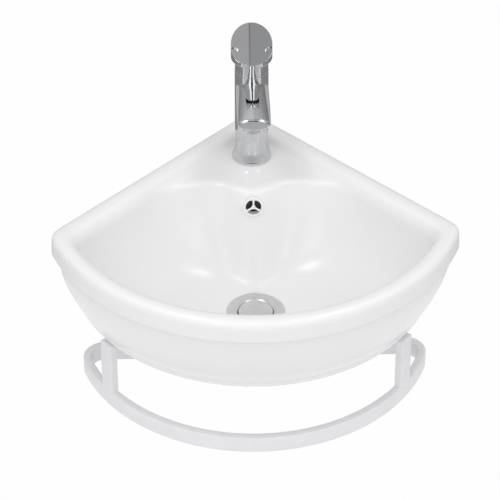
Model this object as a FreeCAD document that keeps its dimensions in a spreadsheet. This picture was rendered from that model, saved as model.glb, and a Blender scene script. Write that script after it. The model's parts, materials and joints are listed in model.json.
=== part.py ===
"""Corner basin with a single-lever tap, a press-to-open waste and a looped towel rail.

Lengths are millimetres.  The origin is where the two room walls meet, level with the rim's top.
The walls are the planes y = x and y = -x, the user stands towards -Y, and +Z is up.
"""
import FreeCAD, Part
import math
import os

import Sketcher
from FreeCAD import Placement, Rotation, Vector

DIMENSIONS = [
    # basin
    ("side_length", 320.0),
    ("front_reach", 392.0),
    ("basin_height", 128.0),
    ("fascia_height", 28.0),
    ("rim_corner_radius", 16.0),
    ("rim_back_radius", 12.0),
    ("rim_edge_radius", 6.0),
    ("wall_rim_width", 22.0),
    ("front_rim_width", 19.0),
    ("ceramic_wall", 11.0),
    ("deck_drop", 11.0),
    ("deck_thickness", 15.0),
    ("bowl_depth", 112.0),
    ("bowl_corner_radius", 24.0),
    ("bowl_floor_share", 0.3),
    ("apron_top_inset", 9.0),
    ("foot_side_length", 280.0),
    ("foot_reach", 346.0),
    ("foot_height", 6.0),
    ("foot_step", 1.5),
    ("nose_front", 144.4),
    ("nose_lean", 16.0),
    ("lobe_spacing", 50.0),
    ("lobe_radius", 40.0),
    ("lobe_setback", 17.5),
    # overflow
    ("overflow_drop", 29.5),
    ("overflow_hole_radius", 10.3),
    ("overflow_ring_radius", 11.7),
    ("overflow_seat_radius", 12.8),
    ("overflow_ring_face", 1.5),
    ("overflow_ring_wall", 1.1),
    ("overflow_sleeve", 9.0),
    ("spoke_width", 1.9),
    ("spoke_hub_radius", 2.3),
    ("duct_radius", 6.0),
    ("duct_wall", 5.0),
    ("duct_level", 12.5),
    # wall screws
    ("wall_hole_radius", 6.0),
    ("wall_hole_drop", 62.0),
    ("wall_hole_first", 105.0),
    ("wall_hole_second", 205.0),
    # tap
    ("tap_setback", 77.0),
    ("tap_hole_radius", 17.5),
    ("base_radius", 22.2),
    ("base_height", 3.0),
    ("column_radius", 18.9),
    ("flare_height", 24.0),
    ("column_height", 118.0),
    ("cartridge_radius", 15.0),
    ("cartridge_collar_radius", 13.2),
    ("cartridge_wall", 1.7),
    ("cartridge_floor", 3.0),
    ("cartridge_seat", 95.0),
    ("cartridge_shoulder", 109.0),
    ("cartridge_top", 122.0),
    ("carrier_radius", 11.2),
    ("carrier_bore", 8.3),
    ("port_spacing", 6.0),
    ("port_radius", 1.4),
    ("port_seal_radius", 4.0),
    ("spout_level", 111.5),
    ("spout_root_thickness", 30.0),
    ("spout_tip_thickness", 15.4),
    ("spout_length", 89.0),
    ("spout_edge_radius", 3.4),
    ("nozzle_setback", 13.0),
    ("nozzle_radius", 11.0),
    ("nozzle_rim", 2.0),
    ("nozzle_height", 92.6),
    ("waterway_radius", 3.2),
    ("neck_radius", 18.6),
    ("neck_wall", 1.6),
    ("neck_top", 133.6),
    ("neck_hole_radius", 12.5),
    ("handle_radius", 23.0),
    ("handle_bottom", 134.0),
    ("handle_front", 138.0),
    ("handle_back", 165.0),
    ("handle_skirt", 2.4),
    ("handle_face_thickness", 5.0),
    ("handle_shoulder", 2.2),
    ("tongue_half_width", 14.5),
    ("shoulder_corner_radius", 6.0),
    ("pivot_height", 117.0),
    ("stem_radius", 4.5),
    ("stem_neck_radius", 3.0),
    ("stem_top", 147.0),
    ("pin_radius", 1.2),
    ("boss_radius", 7.0),
    ("boss_bottom", 141.0),
    ("grub_screw_radius", 2.5),
    ("grub_screw_length", 6.0),
    ("screw_rib_radius", 3.6),
    ("disc_radius", 13.0),
    ("moving_disc_radius", 7.5),
    ("disc_thickness", 3.0),
    ("stud_radius", 4.0),
    ("stud_length", 62.0),
    # waste
    ("drain_setback", 234.0),
    ("drain_radius", 22.8),
    ("flange_radius", 32.5),
    ("flange_recess", 2.0),
    ("tail_radius", 20.9),
    ("tail_wall", 2.0),
    ("tail_length", 70.0),
    ("tail_free_length", 28.0),
    ("tail_step", 0.8),
    ("plug_radius", 19.2),
    ("plug_gap", 1.0),
    ("plug_travel", 7.0),
    ("collar_radius", 38.0),
    ("collar_depth", 24.0),
    ("spider_level", 34.0),
    ("click_barrel_radius", 6.5),
    ("plug_stem_radius", 3.0),
    ("cone_gasket_height", 6.0),
    ("gasket_radius", 33.0),
    ("waste_nut_height", 10.0),
    ("waste_nut_flats", 56.0),
    # towel rail
    ("rail_top_drop", 196.0),
    ("rail_height", 20.0),
    ("rail_thickness", 9.0),
    ("rail_wall", 1.5),
    ("rail_radius", 205.0),
    ("rail_front", 352.8),
    ("rail_back", 181.0),
    ("rail_end_radius", 25.0),
    ("post_angle", 55.0),
    ("post_width", 20.0),
    ("tab_thickness", 3.0),
    ("tab_length", 38.0),
    ("pad_thickness", 2.0),
    ("rail_screw_inset", 25.0),
    ("rail_screw_radius", 3.0),
    ("anchor_radius", 5.0),
    ("anchor_length", 18.0),
    ("lug_radius", 13.0),
    # clearances
    ("running_gap", 0.3),
    ("seat_gap", 0.05),
]

SHEET = "Dims"
HALF_DIAGONAL = math.sqrt(0.5)

# cutters reach this far past the faces that they cut
PAST = 2.0

# basin
APRON_STEPS = 4
BOWL_SHARES = (0.0, 0.18, 0.36, 0.54, 0.7, 0.84, 0.94, 1.0)
BOWL_SHOULDER_POWER = 2.4
BOWL_FLOOR_POWER = 1.6
BOWL_SIDE_SLOPE = 5.0
FRONT_SLOPE = 3.0

# tap
INLET_THREAD_RADIUS = 4.25
INLET_THREAD_LENGTH = 14.0
STUD_ENTRY = 12.0
GASKET_GROOVE = 2.0
DRIVE_POCKET_SHARE = 0.4
TAP_WASHER = 2.5
TAP_PLATE = 2.5
TAP_NUT = 9.0
HORSESHOE_SLOT = 12.0

# waste
FLANGE_THICKNESS = 1.2
PLUG_SEAT_DEPTH = 5.0
SPIDER_HEIGHT = 4.0
CLICK_FOOT = 4.0
CLICK_FLOOR = 5.0
STEM_FOOT_HEIGHT = 3.0
CLICK_LIP = 1.4
SPRING_WIRE = 0.4
SPRING_RADIUS = 3.6
SPRING_TURNS = 3
SPRING_STEPS = 8
SPRING_REST_LENGTH = 4.0
SLIP_WASHER = 1.5

doc = FreeCAD.newDocument("corner_basin")
sheet = doc.addObject("Spreadsheet::Sheet", SHEET)
for row, (alias, number) in enumerate(DIMENSIONS, start=1):
    sheet.set("A%d" % row, alias)
    sheet.set("B%d" % row, str(number))
    sheet.setAlias("B%d" % row, alias)
doc.recompute()


class Size:
    """A size that carries its number and the sheet expression behind it."""

    def __init__(self, value, text):
        self.value = value
        self.text = text

    def __add__(self, other):
        other = as_size(other)
        return Size(self.value + other.value, "(%s + %s)" % (self.text, other.text))

    def __sub__(self, other):
        other = as_size(other)
        return Size(self.value - other.value, "(%s - %s)" % (self.text, other.text))

    def __mul__(self, other):
        other = as_size(other)
        return Size(self.value * other.value, "(%s * %s)" % (self.text, other.text))

    def __truediv__(self, other):
        other = as_size(other)
        return Size(self.value / other.value, "(%s / %s)" % (self.text, other.text))

    def __neg__(self):
        return Size(-self.value, "(0 - %s)" % self.text)

    __radd__ = __add__
    __rmul__ = __mul__

    def __rsub__(self, other):
        return as_size(other) - self


def as_size(number):
    """A Size for a plain number; a Size is returned as it is."""
    if isinstance(number, Size):
        return number
    return Size(float(number), "(%r)" % float(number))


def from_sheet(alias):
    """The Size behind one cell of the sheet."""
    return Size(float(sheet.get(alias)), "%s.%s" % (SHEET, alias))


SIZES = {alias: from_sheet(alias) for alias, number in DIMENSIONS}


class Names:
    """Reads a size by its name: D.side_length."""

    def __getattr__(self, alias):
        return SIZES[alias]


D = Names()
NODES = []


# ---------------------------------------------------------------- document helpers


def node(piece, label):
    """Gives a finished piece its name and lists it for export."""
    piece.Label = label
    NODES.append(piece)
    return piece


def put(piece, x=0, y=0, z=0, turn=0):
    """Places a piece by sizes from the sheet; turn is about the vertical, in degrees."""
    place = [as_size(x), as_size(y), as_size(z)]
    angle = as_size(turn)
    turn = Rotation(Vector(0, 0, 1), angle.value)
    piece.Placement = Placement(Vector(*[size.value for size in place]), turn)
    for axis, size in zip("xyz", place):
        piece.setExpression(".Placement.Base.%s" % axis, size.text)
    if angle.value:
        piece.setExpression(".Placement.Rotation.Angle", angle.text)
    return piece


def origin_plane(body, role):
    """One of the body's own base planes."""
    for feature in body.Origin.OriginFeatures:
        if feature.Role == role:
            return feature
    raise ValueError("no plane " + role)


def new_sketch(body, name, role):
    """An empty sketch on one of the body's base planes."""
    sketch = body.newObject("Sketcher::SketchObject", name)
    sketch.AttachmentSupport = (origin_plane(body, role), [""])
    sketch.MapMode = "FlatFace"
    return sketch


def fix_point(sketch, edge, end, point):
    """Holds one end of an edge at a point given by two sizes."""
    for kind, axis, size in (("DistanceX", -2, as_size(point[0])), ("DistanceY", -1, as_size(point[1]))):
        if size.value == 0:
            sketch.addConstraint(Sketcher.Constraint("PointOnObject", edge, end, axis))
        else:
            held = sketch.addConstraint(Sketcher.Constraint(kind, -1, 1, edge, end, size.value))
            sketch.setExpression("Constraints[%d]" % held, size.text)


def draw_outline(sketch, points):
    """Adds a closed outline of straight lines through points given by sizes."""
    first = sketch.GeometryCount
    corners = [(as_size(x), as_size(y)) for x, y in points]
    count = len(corners)
    for index in range(count):
        here = corners[index]
        after = corners[(index + 1) % count]
        sketch.addGeometry(Part.LineSegment(Vector(here[0].value, here[1].value, 0),
                                            Vector(after[0].value, after[1].value, 0)))
    for index in range(count):
        following = first + (index + 1) % count
        sketch.addConstraint(Sketcher.Constraint("Coincident", first + index, 2, following, 1))
        fix_point(sketch, first + index, 1, corners[index])


def draw_circle(sketch, x, y, radius):
    """Adds a circle whose centre and radius are sizes."""
    x, y, radius = as_size(x), as_size(y), as_size(radius)
    circle = sketch.addGeometry(Part.Circle(Vector(x.value, y.value, 0), Vector(0, 0, 1), radius.value))
    held = sketch.addConstraint(Sketcher.Constraint("Radius", circle, radius.value))
    sketch.setExpression("Constraints[%d]" % held, radius.text)
    fix_point(sketch, circle, 3, (x, y))


def new_body(name):
    return doc.addObject("PartDesign::Body", name)


def turned(name, outline, body=None):
    """A solid of revolution about the body's own Z, from an outline of (radius, height) points."""
    body = body or new_body(name)
    sketch = new_sketch(body, name + "_profile", "XZ_Plane")
    draw_outline(sketch, outline)
    revolution = body.newObject("PartDesign::Revolution", name + "_turned")
    revolution.Profile = sketch
    revolution.ReferenceAxis = (sketch, ["V_Axis"])
    revolution.Angle = 360.0
    return body


def raised(body, name, height, outlines=(), circles=(), lift=0):
    """Pads flat outlines and circles upwards from a level above the body's base plane."""
    sketch = new_sketch(body, name + "_plan", "XY_Plane")
    level = as_size(lift)
    sketch.AttachmentOffset = Placement(Vector(0, 0, level.value), Rotation())
    if level.value:
        sketch.setExpression(".AttachmentOffset.Base.z", level.text)
    for outline in outlines:
        draw_outline(sketch, outline)
    for x, y, radius in circles:
        draw_circle(sketch, x, y, radius)
    pad = body.newObject("PartDesign::Pad", name + "_pad")
    pad.Profile = sketch
    pad.Length = as_size(height).value
    pad.setExpression("Length", as_size(height).text)
    return pad


def sunk(body, name, depth, outlines=(), circles=(), lift=0):
    """Pockets flat outlines and circles downwards from a level above the body's base plane."""
    sketch = new_sketch(body, name + "_plan", "XY_Plane")
    level = as_size(lift)
    sketch.AttachmentOffset = Placement(Vector(0, 0, level.value), Rotation())
    if level.value:
        sketch.setExpression(".AttachmentOffset.Base.z", level.text)
    for outline in outlines:
        draw_outline(sketch, outline)
    for x, y, radius in circles:
        draw_circle(sketch, x, y, radius)
    pocket = body.newObject("PartDesign::Pocket", name + "_pocket")
    pocket.Profile = sketch
    pocket.Length = as_size(depth).value
    pocket.setExpression("Length", as_size(depth).text)
    return pocket


def hexagon(flats, x=0, y=0):
    """Outline of a hexagon from its width across flats."""
    corner = as_size(flats) / math.sqrt(3)
    points = []
    for step in range(6):
        angle = math.radians(60 * step)
        points.append((corner * round(math.cos(angle), 9) + x, corner * round(math.sin(angle), 9) + y))
    return points


def rectangle(low_x, low_y, high_x, high_y):
    return [(low_x, low_y), (high_x, low_y), (high_x, high_y), (low_x, high_y)]


def pipe_outline(inner, outer, low, high):
    """Profile of a plain ring for turned()."""
    return [(inner, low), (outer, low), (outer, high), (inner, high)]


def rod_outline(radius, low, high):
    return [(0, low), (radius, low), (radius, high), (0, high)]


def mirrored(name, source):
    """The same piece on the other side of the plane x = 0."""
    mirror = doc.addObject("Part::Mirroring", name)
    mirror.Source = source
    mirror.Base = Vector(0, 0, 0)
    mirror.Normal = Vector(1, 0, 0)
    return mirror


def group(name, pieces):
    """Several equal pieces, each its own solid, under one name."""
    compound = doc.addObject("Part::Compound", name)
    compound.Links = pieces
    return compound


# ---------------------------------------------------------------- basin


def flip(point):
    """The mirror image of a point in the plane x = 0."""
    return Vector(-point.x, point.y, point.z)


def sector_front(z, apex_y, centre_y, radius, corner_radius, side_start):
    """Plan edges between the sides' starts: two sides at 45 degrees, a front arc and its corners."""
    centre = Vector(0, centre_y, z)
    along = Vector(HALF_DIAGONAL, -HALF_DIAGONAL, 0)
    inward = Vector(-HALF_DIAGONAL, -HALF_DIAGONAL, 0)
    start = Vector(0, apex_y, z) + inward * corner_radius
    offset = start - centre
    half = offset.dot(along)
    reach = radius - corner_radius
    distance = -half + math.sqrt(half * half - offset.dot(offset) + reach * reach)
    corner_centre = start + along * distance
    side_end = corner_centre - inward * corner_radius
    outward = (corner_centre - centre).normalize()
    arc_end = centre + outward * radius
    corner_middle = corner_centre + (outward - inward).normalize() * corner_radius
    return [
        Part.LineSegment(side_start, side_end).toShape(),
        Part.Arc(side_end, corner_middle, arc_end).toShape(),
        Part.Arc(arc_end, centre + Vector(0, -radius, 0), flip(arc_end)).toShape(),
        Part.Arc(flip(arc_end), flip(corner_middle), flip(side_end)).toShape(),
        Part.LineSegment(flip(side_end), flip(side_start)).toShape(),
    ]


def sector_wire(z, apex_y, centre_y, radius, corner_radius, back_radius):
    """Plan outline of the basin: two sides at 45 degrees, a front arc and three rounded corners."""
    back_centre = Vector(0, apex_y - back_radius * math.sqrt(2), z)
    side_start = back_centre + Vector(HALF_DIAGONAL, HALF_DIAGONAL, 0) * back_radius
    edges = sector_front(z, apex_y, centre_y, radius, corner_radius, side_start)
    edges.append(Part.Arc(flip(side_start), back_centre + Vector(0, back_radius, 0), side_start).toShape())
    return Part.Wire(edges)


def arc_about(centre, radius, start, end):
    """An arc of a level circle between two directions, given as angles in degrees."""
    points = []
    for angle in (start, (start + end) / 2, end):
        turn = math.radians(angle)
        points.append(centre + Vector(math.cos(turn), math.sin(turn), 0) * radius)
    return Part.Arc(*points).toShape()


def bowl_wire(z, apex_y, centre_y, radius, corner_radius, front_y, scale, skin):
    """Plan outline of the bowl: as the basin's, but its back runs in two lobes round the tap deck's nose."""
    lobe_radius = D.lobe_radius.value * scale
    lobe_x = D.lobe_spacing.value * scale
    setback = D.lobe_setback.value * scale
    lobe_y = front_y + setback
    step = lobe_radius - setback
    nose_radius = (lobe_x ** 2 + step ** 2 - lobe_radius ** 2) / (2 * setback)
    side_radius = (apex_y - lobe_x - lobe_y) / (math.sqrt(2) - 1)
    nose_centre = Vector(0, front_y + nose_radius, z)
    lobe_centre = Vector(lobe_x, lobe_y - lobe_radius, z)
    side_centre = Vector(lobe_x, lobe_y - side_radius, z)
    side_start = side_centre + Vector(HALF_DIAGONAL, HALF_DIAGONAL, 0) * (side_radius + skin)
    meeting = math.degrees(math.atan2(nose_centre.y - lobe_centre.y, -lobe_x))
    edges = sector_front(z, apex_y + skin * math.sqrt(2), centre_y, radius + skin, corner_radius + skin,
                         side_start)
    edges += [
        arc_about(flip(side_centre), side_radius + skin, 135, 90),
        arc_about(flip(lobe_centre), lobe_radius + skin, 90, 180 - meeting),
        arc_about(nose_centre, nose_radius - skin, -meeting, meeting - 180),
        arc_about(lobe_centre, lobe_radius + skin, meeting, 90),
        arc_about(side_centre, side_radius + skin, 90, 45),
    ]
    return Part.Wire(edges)


def arc_from(side_length, reach):
    """Centre and radius of the front arc that meets the walls at side_length and the front at reach."""
    end = side_length * HALF_DIAGONAL
    centre_y = (2 * end * end - reach * reach) / (2 * (reach - end))
    return centre_y, reach + centre_y


def prism(wire, height):
    return Part.Face(wire).extrude(Vector(0, 0, height))


def pipe_pieces(points, radius):
    """Straight round bars through points, and a ball at each bend."""
    for start, end in zip(points, points[1:]):
        run = end - start
        yield Part.makeCylinder(radius, run.Length, start, run)
    for bend in points[1:-1]:
        yield Part.makeSphere(radius, bend)


def pipe_through(points, radius):
    first, *others = pipe_pieces(points, radius)
    return first.fuse(others)


def rim_slab():
    centre_y, radius = arc_from(D.side_length.value, D.front_reach.value)
    wire = sector_wire(-D.fascia_height.value, 0, centre_y, radius, D.rim_corner_radius.value,
                       D.rim_back_radius.value)
    slab = prism(wire, D.fascia_height.value)
    edges = []
    for edge in slab.Edges:
        middle = edge.BoundBox.Center
        flat = edge.BoundBox.ZLength < 1e-6
        if flat and middle.z > -1e-6:
            edges.append(edge)
    return slab.makeFillet(D.rim_edge_radius.value, edges)


def apron_levels():
    """Heights of the apron's sections with their share of the taper from rim to foot."""
    top = -D.fascia_height.value
    bottom = D.foot_height.value - D.basin_height.value
    for step in range(APRON_STEPS + 1):
        share = step / APRON_STEPS
        yield top + (bottom - top) * share, share ** 2


def apron_arc(taper):
    """Centre, radius and side gap of the apron's outer face at a share of its taper."""
    rim_centre, rim_radius = arc_from(D.side_length.value, D.front_reach.value)
    foot_centre, foot_radius = arc_from(D.foot_side_length.value, D.foot_reach.value)
    top_radius = rim_radius - D.apron_top_inset.value
    return rim_centre + (foot_centre - rim_centre) * taper, top_radius + (foot_radius - top_radius) * taper


def apron_loft(inset, low, high_z=None):
    """The apron as a solid, drawn in by inset on every side; low reaches past the foot."""
    corner = D.rim_corner_radius.value
    wires = []
    for z, taper in apron_levels():
        centre_y, radius = apron_arc(taper)
        wires.append(sector_wire(z, -inset * math.sqrt(2), centre_y, radius - inset, corner,
                                 D.rim_back_radius.value))
    if high_z is not None:
        centre_y, radius = apron_arc(0)
        wires[0] = sector_wire(high_z, -inset * math.sqrt(2), centre_y, radius - inset, corner,
                               D.rim_back_radius.value)
    loft = Part.makeLoft(wires, True, False)
    centre_y, radius = apron_arc(1)
    foot = D.foot_height.value - D.basin_height.value
    band = sector_wire(foot, -inset * math.sqrt(2), centre_y, radius - inset, corner,
                       D.rim_back_radius.value)
    return loft.fuse(prism(band, -low))


def bowl_scale(share):
    """Width of the bowl at a share of its depth, against its width at the deck."""
    floor = D.bowl_floor_share.value
    curve = (1 - share ** BOWL_SHOULDER_POWER) ** (1 / BOWL_FLOOR_POWER)
    return floor + (1 - floor) * curve


def bowl_share(z):
    """How far down the bowl a height lies, from 0 at the deck to 1 at the floor."""
    return (-D.deck_drop.value - z) / (D.bowl_depth.value - D.deck_drop.value)


def nose_front_y(z):
    """How far forward the face of the tap deck's nose lies at a height; it leans towards the drain."""
    share = bowl_share(z)
    drain_y = -D.drain_setback.value
    lean = math.tan(math.radians(D.nose_lean.value)) * (-D.deck_drop.value - z) * (1 - share ** 2)
    return drain_y + bowl_scale(share) * (-D.nose_front.value - drain_y) - lean


def bowl_loft(skin):
    """The bowl's hollow, or with a skin the outside of the bowl's wall."""
    rim_centre, rim_radius = arc_from(D.side_length.value, D.front_reach.value)
    deck = -D.deck_drop.value
    drop = D.bowl_depth.value - D.deck_drop.value
    gap = (D.wall_rim_width.value + BOWL_SIDE_SLOPE) * math.sqrt(2)
    radius = rim_radius - D.front_rim_width.value - FRONT_SLOPE
    drain_y = -D.drain_setback.value
    wires = []
    for share in BOWL_SHARES:
        scale = bowl_scale(share)
        z = deck - drop * share
        apex_y = drain_y + scale * (-gap - drain_y)
        centre_y = drain_y + scale * (rim_centre - drain_y)
        wires.append(bowl_wire(z - skin * share, apex_y, centre_y, radius * scale,
                               D.bowl_corner_radius.value * scale, nose_front_y(z), scale, skin))
    return Part.makeLoft(wires, True, False)


def well_cut():
    """The shallow recess inside the raised rim, from the rim's top down to the deck."""
    rim_centre, rim_radius = arc_from(D.side_length.value, D.front_reach.value)
    side_gap = D.wall_rim_width.value
    front = rim_radius - D.front_rim_width.value
    corner = D.bowl_corner_radius.value
    back = D.rim_back_radius.value + 8
    top = sector_wire(PAST, -(side_gap - PAST) * math.sqrt(2), rim_centre, front + PAST, corner, back)
    deck = sector_wire(-D.deck_drop.value, -(side_gap + BOWL_SIDE_SLOPE) * math.sqrt(2), rim_centre,
                       front - FRONT_SLOPE, corner, back)
    return Part.makeLoft([top, deck], True, True)


def overflow_axis():
    """Centre of the overflow hole on the nose's face, and the direction it faces."""
    z = -D.overflow_drop.value
    slope = nose_front_y(z + 1) - nose_front_y(z - 1)
    centre = Vector(0, nose_front_y(z), z)
    return centre, Vector(0, -2, slope).normalize()


def overflow_seat():
    """The flat round spot on the nose that the overflow ring sits on."""
    hole, facing = overflow_axis()
    depth = D.ceramic_wall.value / 2
    return Part.makeCylinder(D.overflow_seat_radius.value, depth, hole - facing * depth, facing)


def duct_route():
    """Centre line of the overflow duct, from behind the hole down to the waste."""
    hole, facing = overflow_axis()
    first = hole - facing * (D.ceramic_wall.value + D.duct_radius.value)
    inset = first.y - nose_front_y(first.z)
    level = -D.bowl_depth.value - D.duct_level.value
    knee_z = level + 2 * (D.duct_radius.value + D.duct_wall.value)
    knee = Vector(0, nose_front_y(knee_z) + inset, knee_z)
    turn = Vector(0, knee.y - D.duct_radius.value, level)
    drain = Vector(0, -D.drain_setback.value, level)
    return [first, knee, turn, drain]


def lug_place():
    """Centre of one rail lug in plan, left side."""
    rail_centre = D.rail_radius.value - D.rail_front.value
    angle = math.radians(D.post_angle.value)
    reach = D.rail_radius.value - D.rail_screw_inset.value
    return Vector(-reach * math.sin(angle), rail_centre - reach * math.cos(angle), 0)


def basin_shape():
    """One cast piece: rim, deck, bowl, apron, back walls, duct, collar and lugs."""
    wall = D.ceramic_wall.value
    outer = rim_slab().fuse(apron_loft(0, D.foot_height.value - PAST))
    outer = outer.fuse(apron_foot())
    under = apron_loft(wall, D.foot_height.value + PAST, -D.deck_drop.value - D.deck_thickness.value)
    bowl_skin = bowl_loft(wall)
    body = outer.cut(under.cut(bowl_skin))

    extras = tap_boss().fuse(pipe_through(duct_route(), D.duct_radius.value + D.duct_wall.value))
    extras = extras.fuse(drain_collar())
    for lug in lugs():
        extras = extras.fuse(lug)
    inner_room = apron_loft(wall / 2, D.foot_height.value + D.collar_depth.value)
    body = body.fuse(extras.common(inner_room))

    body = body.cut(well_cut().fuse(bowl_loft(0))).fuse(overflow_seat())
    for cutter in basin_holes():
        body = body.cut(cutter)
    return body.removeSplitter()


def apron_foot():
    """The straight band round the foot, set in by the small step."""
    centre_y, radius = apron_arc(1)
    inset = D.foot_step.value
    wire = sector_wire(-D.basin_height.value, 0, centre_y, radius - inset, D.rim_corner_radius.value,
                       D.rim_back_radius.value)
    return prism(wire, D.foot_height.value + PAST)


def tap_boss():
    centre = Vector(0, -D.tap_setback.value, -D.deck_drop.value - D.deck_thickness.value)
    return Part.makeCylinder(D.tap_hole_radius.value + D.ceramic_wall.value, D.deck_thickness.value, centre)


def drain_collar():
    depth = D.collar_depth.value
    centre = Vector(0, -D.drain_setback.value, -D.bowl_depth.value - depth)
    return Part.makeCylinder(D.collar_radius.value, depth, centre)


def lugs():
    """Thick spots inside the apron that take the rail's anchors."""
    height = D.anchor_length.value + 8
    for side in (1, -1):
        centre = lug_place()
        base = Vector(centre.x * side, centre.y, -D.basin_height.value)
        yield Part.makeCylinder(D.lug_radius.value, height, base)


def basin_holes():
    """Every hole through the ceramic."""
    deck = -D.deck_drop.value
    tap = Vector(0, -D.tap_setback.value, deck - D.deck_thickness.value - PAST)
    yield Part.makeCylinder(D.tap_hole_radius.value, D.deck_thickness.value + 2 * PAST, tap)
    floor = -D.bowl_depth.value
    drain = Vector(0, -D.drain_setback.value, floor - D.collar_depth.value - PAST)
    yield Part.makeCylinder(D.drain_radius.value, D.collar_depth.value + 2 * PAST, drain)
    seat = Vector(0, -D.drain_setback.value, floor - D.flange_recess.value)
    yield Part.makeCylinder(D.flange_radius.value + 0.8, D.flange_recess.value + PAST, seat)
    yield pipe_through(duct_route(), D.duct_radius.value)
    hole, facing = overflow_axis()
    inside = D.ceramic_wall.value + D.duct_radius.value
    yield Part.makeCylinder(D.overflow_hole_radius.value, inside + PAST, hole - facing * inside, facing)
    yield Part.makeCylinder(D.overflow_seat_radius.value, PAST, hole, facing)
    for side in (1, -1):
        lug = lug_place()
        foot = Vector(lug.x * side, lug.y, -D.basin_height.value - PAST)
        yield Part.makeCylinder(D.anchor_radius.value + D.seat_gap.value,
                                D.anchor_length.value + 1 + PAST, foot)
        for along in (D.wall_hole_first.value, D.wall_hole_second.value):
            mouth = Vector(side * along * HALF_DIAGONAL, -along * HALF_DIAGONAL, -D.wall_hole_drop.value)
            inward = Vector(-side * HALF_DIAGONAL, -HALF_DIAGONAL, 0)
            length = D.ceramic_wall.value + 2 * PAST
            yield Part.makeCylinder(D.wall_hole_radius.value, length, mouth - inward * PAST, inward)


def make_basin():
    basin = doc.addObject("Part::Feature", "basin")
    basin.Shape = basin_shape()
    node(basin, "basin")


def make_overflow_ring():
    """Clip-in ring: a thin face, a sleeve into the hole, three straight spokes and a round hub."""
    outer = D.overflow_ring_radius
    sleeve = D.overflow_hole_radius - D.running_gap
    inner = sleeve - D.overflow_ring_wall
    face = D.overflow_ring_face
    body = turned("overflow_ring", [
        (inner, -D.overflow_sleeve), (sleeve, -D.overflow_sleeve), (sleeve, 0), (outer, 0),
        (outer, face / 2), (outer - face / 2, face), (inner, face),
    ])
    raised(body, "hub", face, circles=[(0, 0, D.spoke_hub_radius)])
    half = D.spoke_width / 2
    raised(body, "spoke", face, [rectangle(-half, 0, half, inner + D.overflow_ring_wall / 2)])
    spoke = body.Tip
    pattern = body.newObject("PartDesign::PolarPattern", "spokes")
    pattern.Originals = [spoke]
    axis = [feature for feature in body.Origin.OriginFeatures if feature.Role == "Z_Axis"][0]
    pattern.Axis = (axis, [""])
    pattern.Angle = 360.0
    pattern.Occurrences = 3
    body.Tip = pattern
    hole, facing = overflow_axis()
    seat = hole + facing * D.seat_gap.value
    body.Placement = Placement(seat, Rotation(Vector(0, 0, 1), facing))
    node(body, "overflow_ring")


# ---------------------------------------------------------------- tap


DECK = -D.deck_drop
TAP_Y = -D.tap_setback


def on_deck(piece, forward=0, rise=0):
    """Places a piece of the tap, modelled with the deck at height zero and the column on the Z axis."""
    return put(piece, 0, TAP_Y - as_size(forward), DECK + as_size(rise))


def spout_sections():
    """Ellipses across the spout, given as (forward, half width, half thickness, middle height)."""
    wide = D.column_radius.value + 0.1
    level = D.spout_level.value
    length = D.spout_length.value
    root = D.spout_root_thickness.value / 2
    tip = D.spout_tip_thickness.value / 2
    middle = level - tip
    waist = (root + tip) * 0.53
    return [
        (0, wide - 0.4, root, level - 0.5 - root),
        (length * 0.45, wide, waist, level - 0.5 - waist),
        (length * 0.8, wide - 0.2, tip + 1.4, middle - 1.0),
        (length, wide - 0.8, tip + 0.4, middle),
    ]


def spout_solid():
    """Flattened round spout with a softened edge round its flat end."""
    wires = []
    for forward, half_width, half_thick, middle in spout_sections():
        ellipse = Part.Ellipse(Vector(0, 0, 0), half_width, half_thick)
        shape = Part.Wire([ellipse.toShape()])
        shape.Placement = Placement(Vector(0, -forward, middle), Rotation(Vector(1, 0, 0), 90))
        wires.append(shape)
    spout = Part.makeLoft(wires, True, False)
    edge_radius = min(D.spout_edge_radius.value, half_thick * 0.42)
    end_edges = [edge for edge in spout.Edges if edge.BoundBox.YMax < 0.01 - D.spout_length.value]
    return spout.makeFillet(edge_radius, end_edges)


def nozzle_forward():
    return D.spout_length - D.nozzle_setback


def spout_middle():
    """Height of the spout's middle over the nozzle."""
    return D.spout_level - D.spout_tip_thickness / 2 - 1


def aerator_bore():
    return D.nozzle_radius - D.nozzle_rim / 4


def tap_body_shape():
    """Column and spout as one casting, with its cartridge seat, waterways and inlets."""
    base = D.base_radius.value
    column = D.column_radius.value
    height = D.column_height.value
    flare = D.flare_height.value
    low = D.base_height.value
    flare_middle = Vector(column + (base - column) * 0.25, 0, low + (flare - low) * 0.4)
    profile = [
        Part.LineSegment(Vector(0, 0, 0), Vector(base, 0, 0)).toShape(),
        Part.LineSegment(Vector(base, 0, 0), Vector(base, 0, low)).toShape(),
        Part.Arc(Vector(base, 0, low), flare_middle, Vector(column, 0, flare)).toShape(),
        Part.LineSegment(Vector(column, 0, flare), Vector(column, 0, height)).toShape(),
        Part.LineSegment(Vector(column, 0, height), Vector(0, 0, height)).toShape(),
        Part.LineSegment(Vector(0, 0, height), Vector(0, 0, 0)).toShape(),
    ]
    body = Part.Face(Part.Wire(profile)).revolve(Vector(0, 0, 0), Vector(0, 0, 1), 360)
    bore = D.cartridge_radius.value + D.running_gap.value
    seat = Vector(0, 0, D.cartridge_seat.value)
    body = body.cut(Part.makeCylinder(bore, height - seat.z + PAST, seat))
    inside = Part.makeCylinder((bore + column) / 2, 2 * height)
    spout = spout_solid().cut(inside)
    foot = Vector(0, -nozzle_forward().value, D.nozzle_height.value)
    nozzle = Part.makeCylinder(D.nozzle_radius.value + D.nozzle_rim.value,
                               spout_middle().value - foot.z, foot)
    portions = [body, spout, nozzle]
    for cutter in tap_body_cuts():
        portions = [portion.cut(cutter) for portion in portions]
    body, spout, nozzle = portions
    return body.fuse(spout).fuse(nozzle)


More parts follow.
